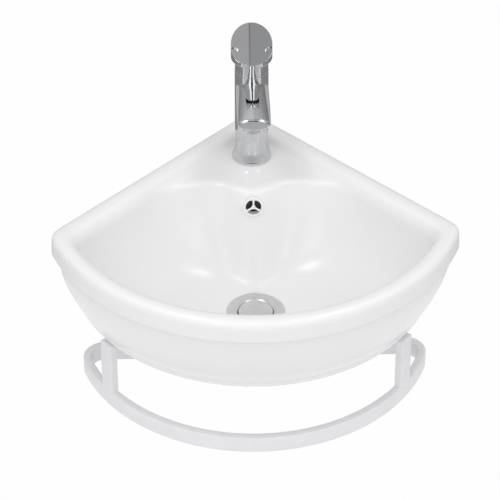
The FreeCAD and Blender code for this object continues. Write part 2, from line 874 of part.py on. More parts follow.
def tap_body_cuts():
    """Waterways, aerator bore, inlets, stud hole and the gasket's groove."""
    seat = D.cartridge_seat.value
    water = D.waterway_radius.value
    spacing = D.port_spacing.value
    start = Vector(0, -spacing, seat - water - 3)
    mouth = Vector(0, -nozzle_forward().value, spout_middle().value)
    yield from pipe_pieces([start + Vector(0, 0, water + 5), start, mouth], water)
    nozzle = Vector(mouth.x, mouth.y, D.nozzle_height.value - PAST)
    yield Part.makeCylinder(aerator_bore().value, mouth.z + 0.5 - nozzle.z, nozzle)
    for side in (1, -1):
        inlet = Vector(side * spacing, 0, -PAST)
        yield Part.makeCylinder(water, seat + 2 * PAST, inlet)
        yield Part.makeCylinder(INLET_THREAD_RADIUS, INLET_THREAD_LENGTH + PAST, inlet)
    stud = Vector(0, stud_back().value, -PAST)
    yield Part.makeCylinder(D.stud_radius.value + D.seat_gap.value, STUD_ENTRY + PAST, stud)
    ring = Part.makeCylinder(gasket_outer().value, GASKET_GROOVE)
    yield ring.cut(Part.makeCylinder(gasket_inner().value, GASKET_GROOVE))


def gasket_inner():
    return D.tap_hole_radius - 1


def gasket_outer():
    return D.base_radius - 2.4


def stud_back():
    return D.port_spacing + D.stud_radius + 1


def make_tap_body():
    body = doc.addObject("Part::Feature", "tap_body")
    body.Shape = tap_body_shape()
    on_deck(body)
    node(body, "tap_body")


def make_base_gasket():
    inner = gasket_inner() + D.seat_gap
    outer = gasket_outer() - D.seat_gap
    gasket = turned("tap_base_gasket", pipe_outline(inner, outer, 0, GASKET_GROOVE - D.seat_gap))
    node(on_deck(gasket), "tap_base_gasket")


def make_neck_cover():
    """Sleeve over the cartridge nut; its rounded top sits inside the handle's skirt."""
    low = D.column_height + D.seat_gap
    top = D.neck_top
    outer = D.neck_radius
    wall = D.neck_wall
    inner = outer - wall
    hole = D.neck_hole_radius
    cover = turned("tap_neck_cover", [
        (inner, low), (outer, low), (outer, top - 2.6), (outer - 1.5, top - 0.6), (hole, top),
        (hole, top - wall), (inner - 1.2, top - wall - 0.6), (inner, top - wall - 2),
    ])
    node(on_deck(cover), "tap_neck_cover")


def port_places():
    """The two inlets at the sides and the outlet in front, about the column's axis."""
    spacing = D.port_spacing
    return [(spacing, as_size(0)), (-spacing, as_size(0)), (as_size(0), -spacing)]


def make_cartridge_shell():
    """Plastic shell: port plate at the foot, disc chamber, and a narrower collar for the lever's carrier."""
    low = D.cartridge_seat + D.seat_gap
    outer = D.cartridge_radius
    wall = D.cartridge_wall
    collar = D.cartridge_collar_radius
    floor = D.cartridge_seat + D.cartridge_floor
    shoulder = D.cartridge_shoulder
    top = D.cartridge_top
    opening = D.carrier_bore + 0.7
    shell = turned("cartridge_shell", [
        (0, low), (outer, low), (outer, shoulder), (collar, shoulder), (collar, top), (opening, top),
        (opening, top - wall), (collar - wall, top - wall), (collar - wall, shoulder + 0.5),
        (opening, shoulder + 0.5), (opening, shoulder - 1.2), (outer - wall, shoulder - 1.2),
        (outer - wall, floor), (0, floor),
    ])
    ports = [(x, y, D.port_radius) for x, y in port_places()]
    sunk(shell, "ports", D.cartridge_floor + 2, circles=ports, lift=floor + 1)
    rings = [(x, y, D.port_seal_radius) for x, y in port_places()]
    sunk(shell, "seal_seats", 1 + D.seat_gap, circles=rings, lift=D.cartridge_seat + 1)
    node(on_deck(shell), "cartridge_shell")


def make_cartridge_seals():
    """One rubber ring round each port, pressed between the cartridge and its seat."""
    rings = []
    for index, (x, y) in enumerate(port_places()):
        profile = pipe_outline(D.port_radius + 1, D.port_seal_radius - D.seat_gap, D.seat_gap, 1 - D.seat_gap)
        ring = turned("port_seal_%d" % index, profile)
        put(ring, x, TAP_Y + y, DECK + D.cartridge_seat)
        rings.append(ring)
    node(group("cartridge_seals", rings), "cartridge_seals")


def disc_floor():
    return D.cartridge_seat + D.cartridge_floor + D.seat_gap


def make_discs():
    """Two polished ceramic discs; the upper one slides to open the ports."""
    thick = D.disc_thickness
    low = disc_floor()
    fixed = new_body("fixed_disc")
    raised(fixed, "disc", thick, circles=[(0, 0, D.disc_radius)], lift=low)
    ports = [(x, y, D.port_radius) for x, y in port_places()]
    sunk(fixed, "disc_ports", thick + 2, circles=ports, lift=low + thick + 1)
    node(on_deck(fixed), "fixed_disc")
    moving = new_body("moving_disc")
    low = low + thick + D.seat_gap
    raised(moving, "disc", thick, circles=[(0, 0, D.moving_disc_radius)], lift=low)
    sunk(moving, "drive_pocket", thick * DRIVE_POCKET_SHARE,
         circles=[(0, 0, D.stem_neck_radius + D.running_gap)], lift=low + thick)
    node(on_deck(moving), "moving_disc")


def stem_foot():
    """Height of the stem's lower end, which stands in the moving disc's pocket."""
    return disc_floor() + D.disc_thickness * (2 - DRIVE_POCKET_SHARE) + D.seat_gap + D.running_gap


def cross_hole(body, name, radius):
    """Drills right through a body along X at the lever's pivot."""
    sketch = new_sketch(body, name + "_side", "YZ_Plane")
    draw_circle(sketch, 0, D.pivot_height, radius)
    pocket = body.newObject("PartDesign::Pocket", name)
    pocket.Profile = sketch
    pocket.Type = 1
    pocket.Midplane = True


def make_stem():
    """Lever stem, the turning carrier that holds it, and the pin that it rocks on."""
    low = stem_foot()
    neck = D.stem_neck_radius
    stem = turned("cartridge_stem", [
        (0, low), (neck - 1, low), (neck, low + 1), (neck, D.pivot_height - 4),
        (D.stem_radius, D.pivot_height - 2.5), (D.stem_radius, D.stem_top), (0, D.stem_top),
    ])
    cross_hole(stem, "pin_hole", D.pin_radius + D.seat_gap)
    node(on_deck(stem), "cartridge_stem")
    gap = D.running_gap
    carrier = turned("stem_carrier", pipe_outline(
        D.carrier_bore, D.carrier_radius, D.cartridge_shoulder + 0.5 + gap,
        D.cartridge_top - D.cartridge_wall - gap))
    cross_hole(carrier, "carrier_pin_hole", D.pin_radius)
    node(on_deck(carrier), "stem_carrier")
    pin = new_body("stem_pin")
    side = new_sketch(pin, "pin_round", "YZ_Plane")
    draw_circle(side, 0, D.pivot_height, D.pin_radius)
    pad = pin.newObject("PartDesign::Pad", "pin_pad")
    pad.Profile = side
    pad.Midplane = True
    length = D.carrier_radius * 2 - 0.4
    pad.Length = length.value
    pad.setExpression("Length", length.text)
    node(on_deck(pin), "stem_pin")


def make_cartridge_nut():
    """Threaded ring that holds the cartridge down on its seat."""
    bore = D.cartridge_collar_radius + D.running_gap
    low = D.cartridge_shoulder + D.seat_gap
    outer = D.cartridge_radius + D.running_gap - D.seat_gap
    top = D.column_height
    nut = turned("cartridge_nut", [
        (bore, low), (outer, low), (outer, top), (outer - 0.8, top + 2), (bore, top + 2),
    ])
    node(on_deck(nut), "cartridge_nut")


def slanted(shape, drop=0):
    """Turns a shape drawn on a level plane into the handle's face, or a plane below it."""
    slope = math.atan((D.handle_back.value - D.handle_front.value) / (2 * D.handle_radius.value))
    middle = (D.handle_front.value + D.handle_back.value) / 2
    shape.Placement = Placement(Vector(0, 0, middle - drop / math.cos(slope)),
                                Rotation(Vector(1, 0, 0), math.degrees(slope)))
    return shape


def shoulder_cut(side):
    """Takes the drum's front shoulder down beside the tongue, with a rounded inner corner."""
    radius = D.handle_radius.value
    tongue = D.tongue_half_width.value
    corner = D.shoulder_corner_radius.value
    back = -radius * 0.1
    far = tongue + radius
    round_centre = Vector(tongue + corner, back - corner, 0)
    turn = corner * HALF_DIAGONAL
    outline = [
        Part.LineSegment(Vector(tongue, -2 * radius, 0), Vector(tongue, back - corner, 0)).toShape(),
        Part.Arc(Vector(tongue, back - corner, 0), round_centre + Vector(-turn, turn, 0),
                 Vector(tongue + corner, back, 0)).toShape(),
        Part.LineSegment(Vector(tongue + corner, back, 0), Vector(far, back, 0)).toShape(),
        Part.LineSegment(Vector(far, back, 0), Vector(far, -2 * radius, 0)).toShape(),
        Part.LineSegment(Vector(far, -2 * radius, 0), Vector(tongue, -2 * radius, 0)).toShape(),
    ]
    block = prism(Part.Wire(outline), radius)
    if side < 0:
        block = block.mirror(Vector(0, 0, 0), Vector(1, 0, 0))
    return slanted(block, D.handle_shoulder.value)


def above_face(drop=0):
    """Everything above the handle's face, or above a plane parallel to it."""
    size = 4 * D.handle_radius.value
    return slanted(Part.makeBox(size, size, size, Vector(-size / 2, -size / 2, 0)), drop)


def handle_shape():
    """Hollow drum with a sloping face that ends in a short tongue over the spout."""
    radius = D.handle_radius.value
    low = D.handle_bottom.value
    drum = Part.makeCylinder(radius, D.handle_back.value - low + PAST, Vector(0, 0, low)).cut(above_face())
    for side in (1, -1):
        drum = drum.cut(shoulder_cut(side))
    low_edges = [edge for edge in drum.Edges if edge.BoundBox.ZMax < low + 1e-6]
    drum = drum.makeFillet(1.0, low_edges)
    boss = Part.makeCylinder(D.boss_radius.value, D.handle_back.value, Vector(0, 0, D.boss_bottom.value))
    start = Vector(0, 0, screw_height().value)
    back = Vector(0, 1, 0)
    rib = Part.makeCylinder(D.screw_rib_radius.value, radius, start, back)
    room = Part.makeCylinder(radius - D.handle_skirt.value, D.handle_back.value - low + PAST,
                             Vector(0, 0, low - PAST))
    room = room.cut(above_face(D.handle_face_thickness.value)).cut(boss).cut(rib)
    drum = drum.cut(room)
    stem = Part.makeCylinder(D.stem_radius.value + D.seat_gap.value,
                             D.stem_top.value - low + D.running_gap.value, Vector(0, 0, low))
    screw = Part.makeCylinder(D.grub_screw_radius.value + D.seat_gap.value, radius + PAST, start, back)
    return drum.cut(stem).cut(screw).removeSplitter()


def screw_height():
    return D.stem_top - D.grub_screw_radius - D.running_gap


def make_handle():
    handle = doc.addObject("Part::Feature", "tap_handle")
    handle.Shape = handle_shape()
    on_deck(handle)
    node(handle, "tap_handle")


def make_handle_screw():
    """Grub screw that grips the stem, and the cap that hides its hole at the back of the handle."""
    radius = D.grub_screw_radius
    tip = D.stem_radius + D.seat_gap
    screw = turned("handle_grub_screw", rod_outline(radius, tip, tip + D.grub_screw_length))
    sunk(screw, "drive", 2, [hexagon(2.5)], lift=tip + D.grub_screw_length)
    cap = turned("handle_screw_cap", rod_outline(radius, D.handle_radius - 1.8, D.handle_radius - 0.3))
    for piece in (screw, cap):
        on_deck(piece, 0, screw_height())
        place = piece.Placement.Base
        piece.Placement = Placement(place, Rotation(Vector(1, 0, 0), -90))
        node(piece, piece.Name)


def make_aerator():
    """Screw-in housing under the spout's tip, its jet insert and the washer above it."""
    bore = aerator_bore()
    low = D.nozzle_height - 0.6
    seat = spout_middle() - 2
    inner = bore - 1.6
    fit = bore - D.seat_gap
    housing = turned("aerator_housing", [
        (inner - 0.8, low), (fit - 0.6, low), (fit, low + 0.6), (fit, seat), (inner, seat),
        (inner, low + 1), (inner - 0.8, low + 1),
    ])
    node(on_deck(housing, nozzle_forward()), "aerator_housing")
    insert = turned("aerator_insert", rod_outline(inner - D.seat_gap, low + 1 + D.seat_gap, seat))
    holes = [(0, 0, 0.8)]
    for count, reach in ((6, 3.2), (12, 6.4)):
        for step in range(count):
            angle = 2 * math.pi * step / count
            holes.append((round(reach * math.cos(angle), 4), round(reach * math.sin(angle), 4), 0.7))
    sunk(insert, "jets", spout_middle(), circles=holes, lift=seat)
    node(on_deck(insert, nozzle_forward()), "aerator_insert")
    washer = turned("aerator_washer", pipe_outline(D.waterway_radius + 2, fit, seat + D.seat_gap,
                                                   seat + 2))
    node(on_deck(washer, nozzle_forward()), "aerator_washer")


def make_tap_fixing():
    """Clamping set under the deck: stud, rubber washer, horseshoe plate and nut."""
    back = stud_back()
    above = as_size(STUD_ENTRY) - 1
    stud = turned("tap_stud", rod_outline(D.stud_radius, above - D.stud_length, above))
    node(on_deck(stud, -back), "tap_stud")
    under = -D.deck_thickness - D.seat_gap
    outer = D.tap_hole_radius + 8
    half = as_size(HORSESHOE_SLOT)
    pair = (("tap_rubber_washer", TAP_WASHER, 0), ("tap_clamp_plate", TAP_PLATE, TAP_WASHER))
    for name, thick, drop in pair:
        plate = new_body(name)
        low = under - thick - drop
        raised(plate, name + "_disc", as_size(thick) - D.seat_gap, circles=[(0, 0, outer)], lift=low)
        slot = rectangle(-half, -outer * 2, half, back - D.stud_radius - 2)
        sunk(plate, name + "_slot", thick * 2, [slot], lift=low + thick)
        hole = [(0, back, D.stud_radius + D.running_gap)]
        sunk(plate, name + "_hole", thick * 2, circles=hole, lift=low + thick)
        node(on_deck(plate), name)
    nut = new_body("tap_nut")
    low = under - TAP_WASHER - TAP_PLATE - TAP_NUT
    raised(nut, "hex", TAP_NUT - D.seat_gap, [hexagon(13)], [(0, 0, D.stud_radius + D.seat_gap)], lift=low)
    node(on_deck(nut, -back), "tap_nut")


# ---------------------------------------------------------------- waste


FLOOR = -D.bowl_depth
WASTE_Y = -D.drain_setback


def at_drain(piece):
    """Places a piece of the waste, modelled with the bowl's floor at height zero."""
    return put(piece, 0, WASTE_Y, FLOOR)


def flange_underside():
    """The flange sits on its seal in the bowl's recess."""
    return -D.flange_recess + 0.8


def tail_upper():
    """Radius of the tail above the free end that takes the trap."""
    return D.tail_radius + D.tail_step


def make_waste_body():
    """Dished flange and threaded tail with slots for the overflow and the click barrel's spider."""
    flange = D.flange_radius
    seat = D.plug_radius + D.plug_gap
    tail = D.tail_radius
    inner = tail - D.tail_wall
    low = flange_underside()
    body = turned("waste_body", [
        (inner, -D.tail_length), (tail, -D.tail_length), (tail, D.tail_free_length - D.tail_length),
        (tail_upper(), D.tail_free_length - D.tail_length), (tail_upper(), low), (flange, low),
        (flange, low + 1), (flange - 1, low + 1.8), (seat + 1, low + FLANGE_THICKNESS), (seat, low + 0.4),
        (seat, -PLUG_SEAT_DEPTH), (inner, -PLUG_SEAT_DEPTH - 2),
    ])
    across = new_sketch(body, "slot_side", "YZ_Plane")
    half = D.duct_radius
    draw_outline(across, rectangle(-half, -D.duct_level - half, half, -D.duct_level + half))
    slots = body.newObject("PartDesign::Pocket", "overflow_slots")
    slots.Profile = across
    slots.Type = 1
    slots.Midplane = True
    arm = 1.6
    reach = tail - D.tail_wall / 2
    low = -D.spider_level
    raised(body, "spider", SPIDER_HEIGHT, [rectangle(-reach, -arm, reach, arm)], lift=low)
    raised(body, "spider_across", SPIDER_HEIGHT, [rectangle(-arm, -reach, arm, reach)], lift=low)
    raised(body, "spider_hub", SPIDER_HEIGHT, circles=[(0, 0, D.click_barrel_radius + 1)], lift=low)
    sunk(body, "spider_bore", SPIDER_HEIGHT + 2, circles=[(0, 0, click_foot_radius() + D.seat_gap)],
         lift=low + SPIDER_HEIGHT + 1)
    node(at_drain(body), "waste_body")
    seal = turned("waste_flange_seal", pipe_outline(tail_upper() + D.running_gap, D.flange_radius - 3,
                                                    -D.flange_recess + D.seat_gap,
                                                    flange_underside() - D.seat_gap))
    node(at_drain(seal), "waste_flange_seal")


def click_foot_radius():
    return D.click_barrel_radius - 2.5


def make_plug():
    """Domed plug, its seal and its stem, which travel together."""
    radius = D.plug_radius
    neck = radius - 4
    plug = turned("waste_plug", [
        (0, -3.5), (neck, -3.5), (neck, -1.5), (radius, -1.0), (radius, 0.2), (radius - 1, 0.9),
        (radius * 0.5, 1.2), (0, 1.3),
    ])
    sunk(plug, "stem_socket", 2.5, circles=[(0, 0, D.plug_stem_radius + D.seat_gap)], lift=-1.5)
    node(at_drain(plug), "waste_plug")
    seal = turned("plug_seal", pipe_outline(neck + D.seat_gap, radius + D.plug_gap * 0.6, -3.4, -1.7))
    node(at_drain(seal), "plug_seal")
    foot = -D.spider_level + CLICK_FLOOR + SPRING_REST_LENGTH
    stem_radius = D.plug_stem_radius
    foot_radius = stem_radius + 1.2
    top = as_size(-1.5) - D.seat_gap
    stem = turned("plug_stem", [
        (0, foot), (foot_radius, foot), (foot_radius, foot + STEM_FOOT_HEIGHT),
        (stem_radius, foot + STEM_FOOT_HEIGHT), (stem_radius, top), (0, top),
    ])
    node(at_drain(stem), "plug_stem")


def make_click_barrel():
    """Barrel in the spider that guides the stem and catches its foot at the top of the travel."""
    low = -D.spider_level
    outer = D.click_barrel_radius
    inner = outer - 1.3
    guide = D.plug_stem_radius + D.running_gap
    foot = click_foot_radius()
    floor = low + CLICK_FLOOR
    lip = floor + SPRING_REST_LENGTH + STEM_FOOT_HEIGHT + D.plug_travel + D.running_gap
    shoulder = low + SPIDER_HEIGHT + D.seat_gap
    barrel = turned("click_barrel", [
        (0, low - CLICK_FOOT), (foot, low - CLICK_FOOT), (foot, shoulder), (outer, shoulder),
        (outer, lip + CLICK_LIP), (guide, lip + CLICK_LIP), (guide, lip), (inner, lip), (inner, floor),
        (0, floor),
    ])
    node(at_drain(barrel), "click_barrel")


def coil_line(rise):
    """The spring's centre line as one smooth curve."""
    count = SPRING_TURNS * SPRING_STEPS
    points = []
    for step in range(count + 1):
        angle = 2 * math.pi * step / SPRING_STEPS
        points.append(Vector(SPRING_RADIUS * math.cos(angle), SPRING_RADIUS * math.sin(angle),
                             rise * step / count))
    line = Part.BSplineCurve()
    line.interpolate(points)
    return line


def wire_section():
    """The spring wire's section, eight-sided, at the start of the coil."""
    sides = 8
    corners = []
    for side in range(sides + 1):
        angle = 2 * math.pi * side / sides
        corners.append(Vector(SPRING_RADIUS + SPRING_WIRE * math.cos(angle), 0,
                              SPRING_WIRE * math.sin(angle)))
    return Part.makePolygon(corners)


def make_spring():
    """Coil spring that lifts the plug, standing in the click barrel under the stem's foot."""
    floor = -D.spider_level + CLICK_FLOOR + D.seat_gap
    rise = SPRING_REST_LENGTH - 2 * SPRING_WIRE - 2 * D.seat_gap.value
    spring = doc.addObject("Part::Feature", "click_spring")
    spring.Shape = Part.Wire([coil_line(rise).toShape()]).makePipeShell([wire_section()], True, True)
    put(spring, 0, WASTE_Y, FLOOR + floor + SPRING_WIRE)
    node(spring, "click_spring")


def make_waste_fixing():
    """Cone gasket, slip washer and back nut under the collar."""
    seat = -D.collar_depth
    bore = tail_upper() + D.running_gap
    outer = D.gasket_radius
    face = seat - D.seat_gap
    low = seat - D.cone_gasket_height
    gasket = turned("waste_cone_gasket", [
        (bore, low), (outer, low), (outer, face), (D.drain_radius - D.running_gap, face), (bore, face + 2),
    ])
    node(at_drain(gasket), "waste_cone_gasket")
    top = low - D.seat_gap
    washer = turned("waste_slip_washer", pipe_outline(bore, outer, top - SLIP_WASHER, top))
    node(at_drain(washer), "waste_slip_washer")
    nut = new_body("waste_backnut")
    low = top - SLIP_WASHER - D.seat_gap - D.waste_nut_height
    raised(nut, "hex", D.waste_nut_height, [hexagon(D.waste_nut_flats)],
           [(0, 0, tail_upper() + D.seat_gap)], lift=low)
    node(at_drain(nut), "waste_backnut")


# ---------------------------------------------------------------- towel rail


RAIL_Y = D.rail_radius - D.rail_front
RAIL_TOP = -D.rail_top_drop


def rail_loop(sketch, inset):
    """Closed plan of the rail: front arc, two tight ends and a straight back, all tangent."""
    outer = D.rail_radius - inset
    end = D.rail_end_radius - inset
    back = -D.rail_back - inset
    centre_y = RAIL_Y.value
    end_y = back.value - end.value
    end_x = math.sqrt((outer.value - end.value) ** 2 - (end_y - centre_y) ** 2)
    touch = math.atan2(end_y - centre_y, end_x)
    up = Vector(0, 0, 1)
    first = sketch.GeometryCount
    front_circle = Part.Circle(Vector(0, centre_y, 0), up, outer.value)
    right_circle = Part.Circle(Vector(end_x, end_y, 0), up, end.value)
    left_circle = Part.Circle(Vector(-end_x, end_y, 0), up, end.value)
    sketch.addGeometry(Part.ArcOfCircle(front_circle, math.pi - touch, 2 * math.pi + touch))
    sketch.addGeometry(Part.ArcOfCircle(right_circle, touch, math.pi / 2))
    sketch.addGeometry(Part.LineSegment(Vector(end_x, back.value, 0), Vector(-end_x, back.value, 0)))
    sketch.addGeometry(Part.ArcOfCircle(left_circle, math.pi / 2, math.pi - touch))
    front, right, straight, left = range(first, first + 4)
    joints = ((front, 2, right, 1), (right, 2, straight, 1), (straight, 2, left, 1), (left, 2, front, 1))
    for joint in joints:
        sketch.addConstraint(Sketcher.Constraint("Tangent", *joint))
    fix_point(sketch, front, 3, (0, RAIL_Y))
    for arc, size in ((front, outer), (right, end), (left, end)):
        held = sketch.addConstraint(Sketcher.Constraint("Radius", arc, size.value))
        sketch.setExpression("Constraints[%d]" % held, size.text)
    held = sketch.addConstraint(Sketcher.Constraint("DistanceY", -1, 1, straight, 1, back.value))
    sketch.setExpression("Constraints[%d]" % held, back.text)
    sketch.addConstraint(Sketcher.Constraint("Horizontal", straight))


def rail_ring(name, inset, height):
    """A flat closed ring that follows the rail's plan, inset from both of its faces."""
    ring = new_body(name)
    sketch = new_sketch(ring, name + "_plan", "XY_Plane")
    rail_loop(sketch, as_size(inset))
    rail_loop(sketch, D.rail_thickness - inset)
    pad = ring.newObject("PartDesign::Pad", name + "_pad")
    pad.Profile = sketch
    pad.Length = height.value
    pad.setExpression("Length", height.text)
    return ring


def make_rail():
    """Rectangular tube bent into one closed loop."""
    outside = rail_ring("rail_outside", 0, D.rail_height)
    inside = rail_ring("rail_inside", D.rail_wall, D.rail_height - D.rail_wall * 2)
    put(outside, 0, 0, RAIL_TOP - D.rail_height)
    put(inside, 0, 0, RAIL_TOP - D.rail_height + D.rail_wall)
    rail = doc.addObject("Part::Cut", "towel_rail")
    rail.Base = outside
    rail.Tool = inside
    node(rail, "towel_rail")


def at_post(piece, z, side=-1):
    """Turns a piece, modelled straight in front of the rail's centre, round to a post."""
    return put(piece, 0, RAIL_Y, z, D.post_angle * side)


def make_posts():
    """Square-cut posts on the rail, each with a welded tab under the basin's lug."""
    half = D.post_width / 2
    outer = -D.rail_radius
    inner = outer + D.rail_thickness
    tab_top = -D.basin_height - D.pad_thickness - D.seat_gap * 2
    rise = tab_top - D.tab_thickness - RAIL_TOP
    post = new_body("rail_post_left")
    raised(post, "tube", rise, [rectangle(-half, outer, half, inner)])
    sunk(post, "tube_hollow", rise - D.rail_wall,
         [rectangle(-half + D.rail_wall, outer + D.rail_wall, half - D.rail_wall, inner - D.rail_wall)],
         lift=rise - D.rail_wall)
    screw = outer + D.rail_screw_inset
    raised(post, "tab", D.tab_thickness, [rectangle(-half, outer, half, outer + D.tab_length)],
           [(0, screw, D.rail_screw_radius + D.running_gap)], lift=rise)
    at_post(post, RAIL_TOP + D.seat_gap)
    node(post, "rail_post_left")
    node(mirrored("rail_post_right", post), "rail_post_right")


def pair(name, source):
    node(group(name, [source, mirrored(name + "_other", source)]), name)


def make_rail_fixings():
    """Pads, washers, screws and threaded anchors, one of each on either side."""
    screw = -D.rail_radius + D.rail_screw_inset
    clear = D.rail_screw_radius + D.running_gap
    under_tab = -D.basin_height - D.pad_thickness - D.tab_thickness - D.seat_gap * 3
    pad = new_body("pad_left")
    raised(pad, "pad", D.pad_thickness, circles=[(0, screw, D.lug_radius - 2), (0, screw, clear)])
    at_post(pad, -D.basin_height - D.pad_thickness - D.seat_gap)
    pair("rail_pads", pad)
    washer = new_body("washer_left")
    raised(washer, "washer", 1.2, circles=[(0, screw, 6), (0, screw, clear)])
    at_post(washer, under_tab - 1.2)
    pair("rail_washers", washer)
    anchor = new_body("anchor_left")
    raised(anchor, "anchor", D.anchor_length,
           circles=[(0, screw, D.anchor_radius), (0, screw, D.rail_screw_radius + D.seat_gap)])
    at_post(anchor, -D.basin_height + 0.5)
    pair("rail_anchors", anchor)
    bolt = new_body("screw_left")
    shank = D.anchor_length + D.pad_thickness + D.tab_thickness
    raised(bolt, "head", 3.4, circles=[(0, screw, 5)])
    raised(bolt, "shank", shank, circles=[(0, screw, D.rail_screw_radius)], lift=3.4)
    sunk(bolt, "drive", 2, [hexagon(3.2, 0, screw)], lift=2)
    at_post(bolt, under_tab - 1.2 - 3.4 - D.seat_gap)
    pair("rail_screws", bolt)


# ---------------------------------------------------------------- build and export


def make_all():
    make_basin()
    make_overflow_ring()
    make_tap_body()
    make_base_gasket()
    make_neck_cover()
    make_cartridge_shell()
    make_cartridge_seals()
    make_discs()
    make_stem()
    make_cartridge_nut()
    make_handle()
    make_handle_screw()
    make_aerator()
    make_tap_fixing()
    make_waste_body()
    make_plug()
    make_click_barrel()
    make_spring()
    make_waste_fixing()
    make_rail()
    make_posts()
    make_rail_fixings()


def check_document():
    """Stops on any failed feature or unsound solid, before anything is written."""
    for item in doc.Objects:
        for state in item.State:
            if state in ("Invalid", "Error"):
                raise RuntimeError("%s is %s" % (item.Label, state))
    for piece in NODES:
        shape = piece.Shape
        if shape.isNull() or not shape.isValid() or not shape.Solids:
            raise RuntimeError("%s has no sound solid" % piece.Label)


make_all()
doc.recompute()
check_document()
os.makedirs("parts", exist_ok=True)
for piece in NODES:
    piece.Shape.exportStep("parts/%s.step" % piece.Label)
    print("%-20s %d solids %12.1f mm3" % (piece.Label, len(piece.Shape.Solids), piece.Shape.Volume))
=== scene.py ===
"""Looks of the corner basin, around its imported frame. Lengths are metres."""
import json
import math

import bmesh
import bpy
import numpy as np
from mathutils import Matrix, Vector


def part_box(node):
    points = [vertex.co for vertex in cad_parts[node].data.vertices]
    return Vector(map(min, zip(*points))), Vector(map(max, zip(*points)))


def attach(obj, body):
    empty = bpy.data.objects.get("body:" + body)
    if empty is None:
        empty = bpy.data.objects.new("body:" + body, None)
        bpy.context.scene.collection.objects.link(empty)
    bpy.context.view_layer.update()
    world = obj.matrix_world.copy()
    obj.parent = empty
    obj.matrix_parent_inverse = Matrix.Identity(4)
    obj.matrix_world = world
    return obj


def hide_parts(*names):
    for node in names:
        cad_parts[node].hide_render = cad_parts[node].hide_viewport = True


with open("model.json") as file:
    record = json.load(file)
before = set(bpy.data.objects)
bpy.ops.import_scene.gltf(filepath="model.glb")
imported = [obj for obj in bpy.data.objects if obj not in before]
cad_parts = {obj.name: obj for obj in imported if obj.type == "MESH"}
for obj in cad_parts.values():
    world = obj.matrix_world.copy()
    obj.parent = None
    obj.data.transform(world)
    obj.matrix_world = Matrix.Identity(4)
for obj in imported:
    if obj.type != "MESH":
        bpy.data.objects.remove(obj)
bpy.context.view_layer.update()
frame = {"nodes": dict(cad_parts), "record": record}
NODES = frame["nodes"]

# The tap, the drain, the bowl's floor and middle, and the overflow hole with the lean of its axis
TAP_Y = -0.077
DRAIN_Y = -0.234
BOWL_Z = -0.112
BOWL_MIDDLE_Y = -0.22
HOLE_CENTRE = Vector((0.0, -0.150196, -0.0295))
HOLE_LEAN = math.radians(19.03)


def colour(red, green, blue):
    return (red, green, blue, 1.0)


def grey(level):
    return colour(level, level, level)


# ---------------------------------------------------------------- node helpers

NOISE_LOW = 0.3
NOISE_HIGH = 0.7


class Nodes:
    """A node tree, with short calls for the nodes that the materials and the world use."""

    def __init__(self, tree):
        self.tree = tree

    def link(self, source, target):
        self.tree.links.new(source, target)

    def node(self, kind, **settings):
        made = self.tree.nodes.new("ShaderNode" + kind)
        for name, value in settings.items():
            setattr(made, name, value)
        return made

    def math(self, operation, first, second=0.0):
        made = self.node("Math", operation=operation)
        for slot, value in enumerate((first, second)):
            if isinstance(value, (int, float)):
                made.inputs[slot].default_value = value
            else:
                self.link(value, made.inputs[slot])
        return made.outputs[0]

    def ranged(self, source, source_low, source_high, low, high):
        """Maps a source from one range onto another, limited to it."""
        made = self.node("MapRange")
        limits = {"From Min": source_low, "From Max": source_high, "To Min": low, "To Max": high}
        for name, value in limits.items():
            made.inputs[name].default_value = value
        self.link(source, made.inputs["Value"])
        return made.outputs["Result"]

    def graded(self, source, stops):
        """A soft grey ramp with stops of (place, level)."""
        made = self.node("ValToRGB")
        ramp = made.color_ramp
        ramp.interpolation = "EASE"
        while len(ramp.elements) < len(stops):
            ramp.elements.new(0.5)
        for element, (place, level) in zip(ramp.elements, stops):
            element.position = place
            element.color = grey(level)
        self.link(source, made.inputs["Fac"])
        return made.outputs["Color"]

    def glow(self, strength=1.0, tint=None):
        """Light of its own, with a strength that is a number or a socket."""
        made = self.node("Emission")
        if isinstance(strength, float):
            made.inputs["Strength"].default_value = strength
        else:
            self.link(strength, made.inputs["Strength"])
        if tint is not None:
            self.link(tint, made.inputs["Color"])
        return made.outputs["Emission"]

    def choose(self, share, first, second):
        """The first shader where the share is 0, the second where it is 1."""
        made = self.node("MixShader")
        self.link(share, made.inputs["Fac"])
        self.link(first, made.inputs[1])
        self.link(second, made.inputs[2])
        return made.outputs["Shader"]


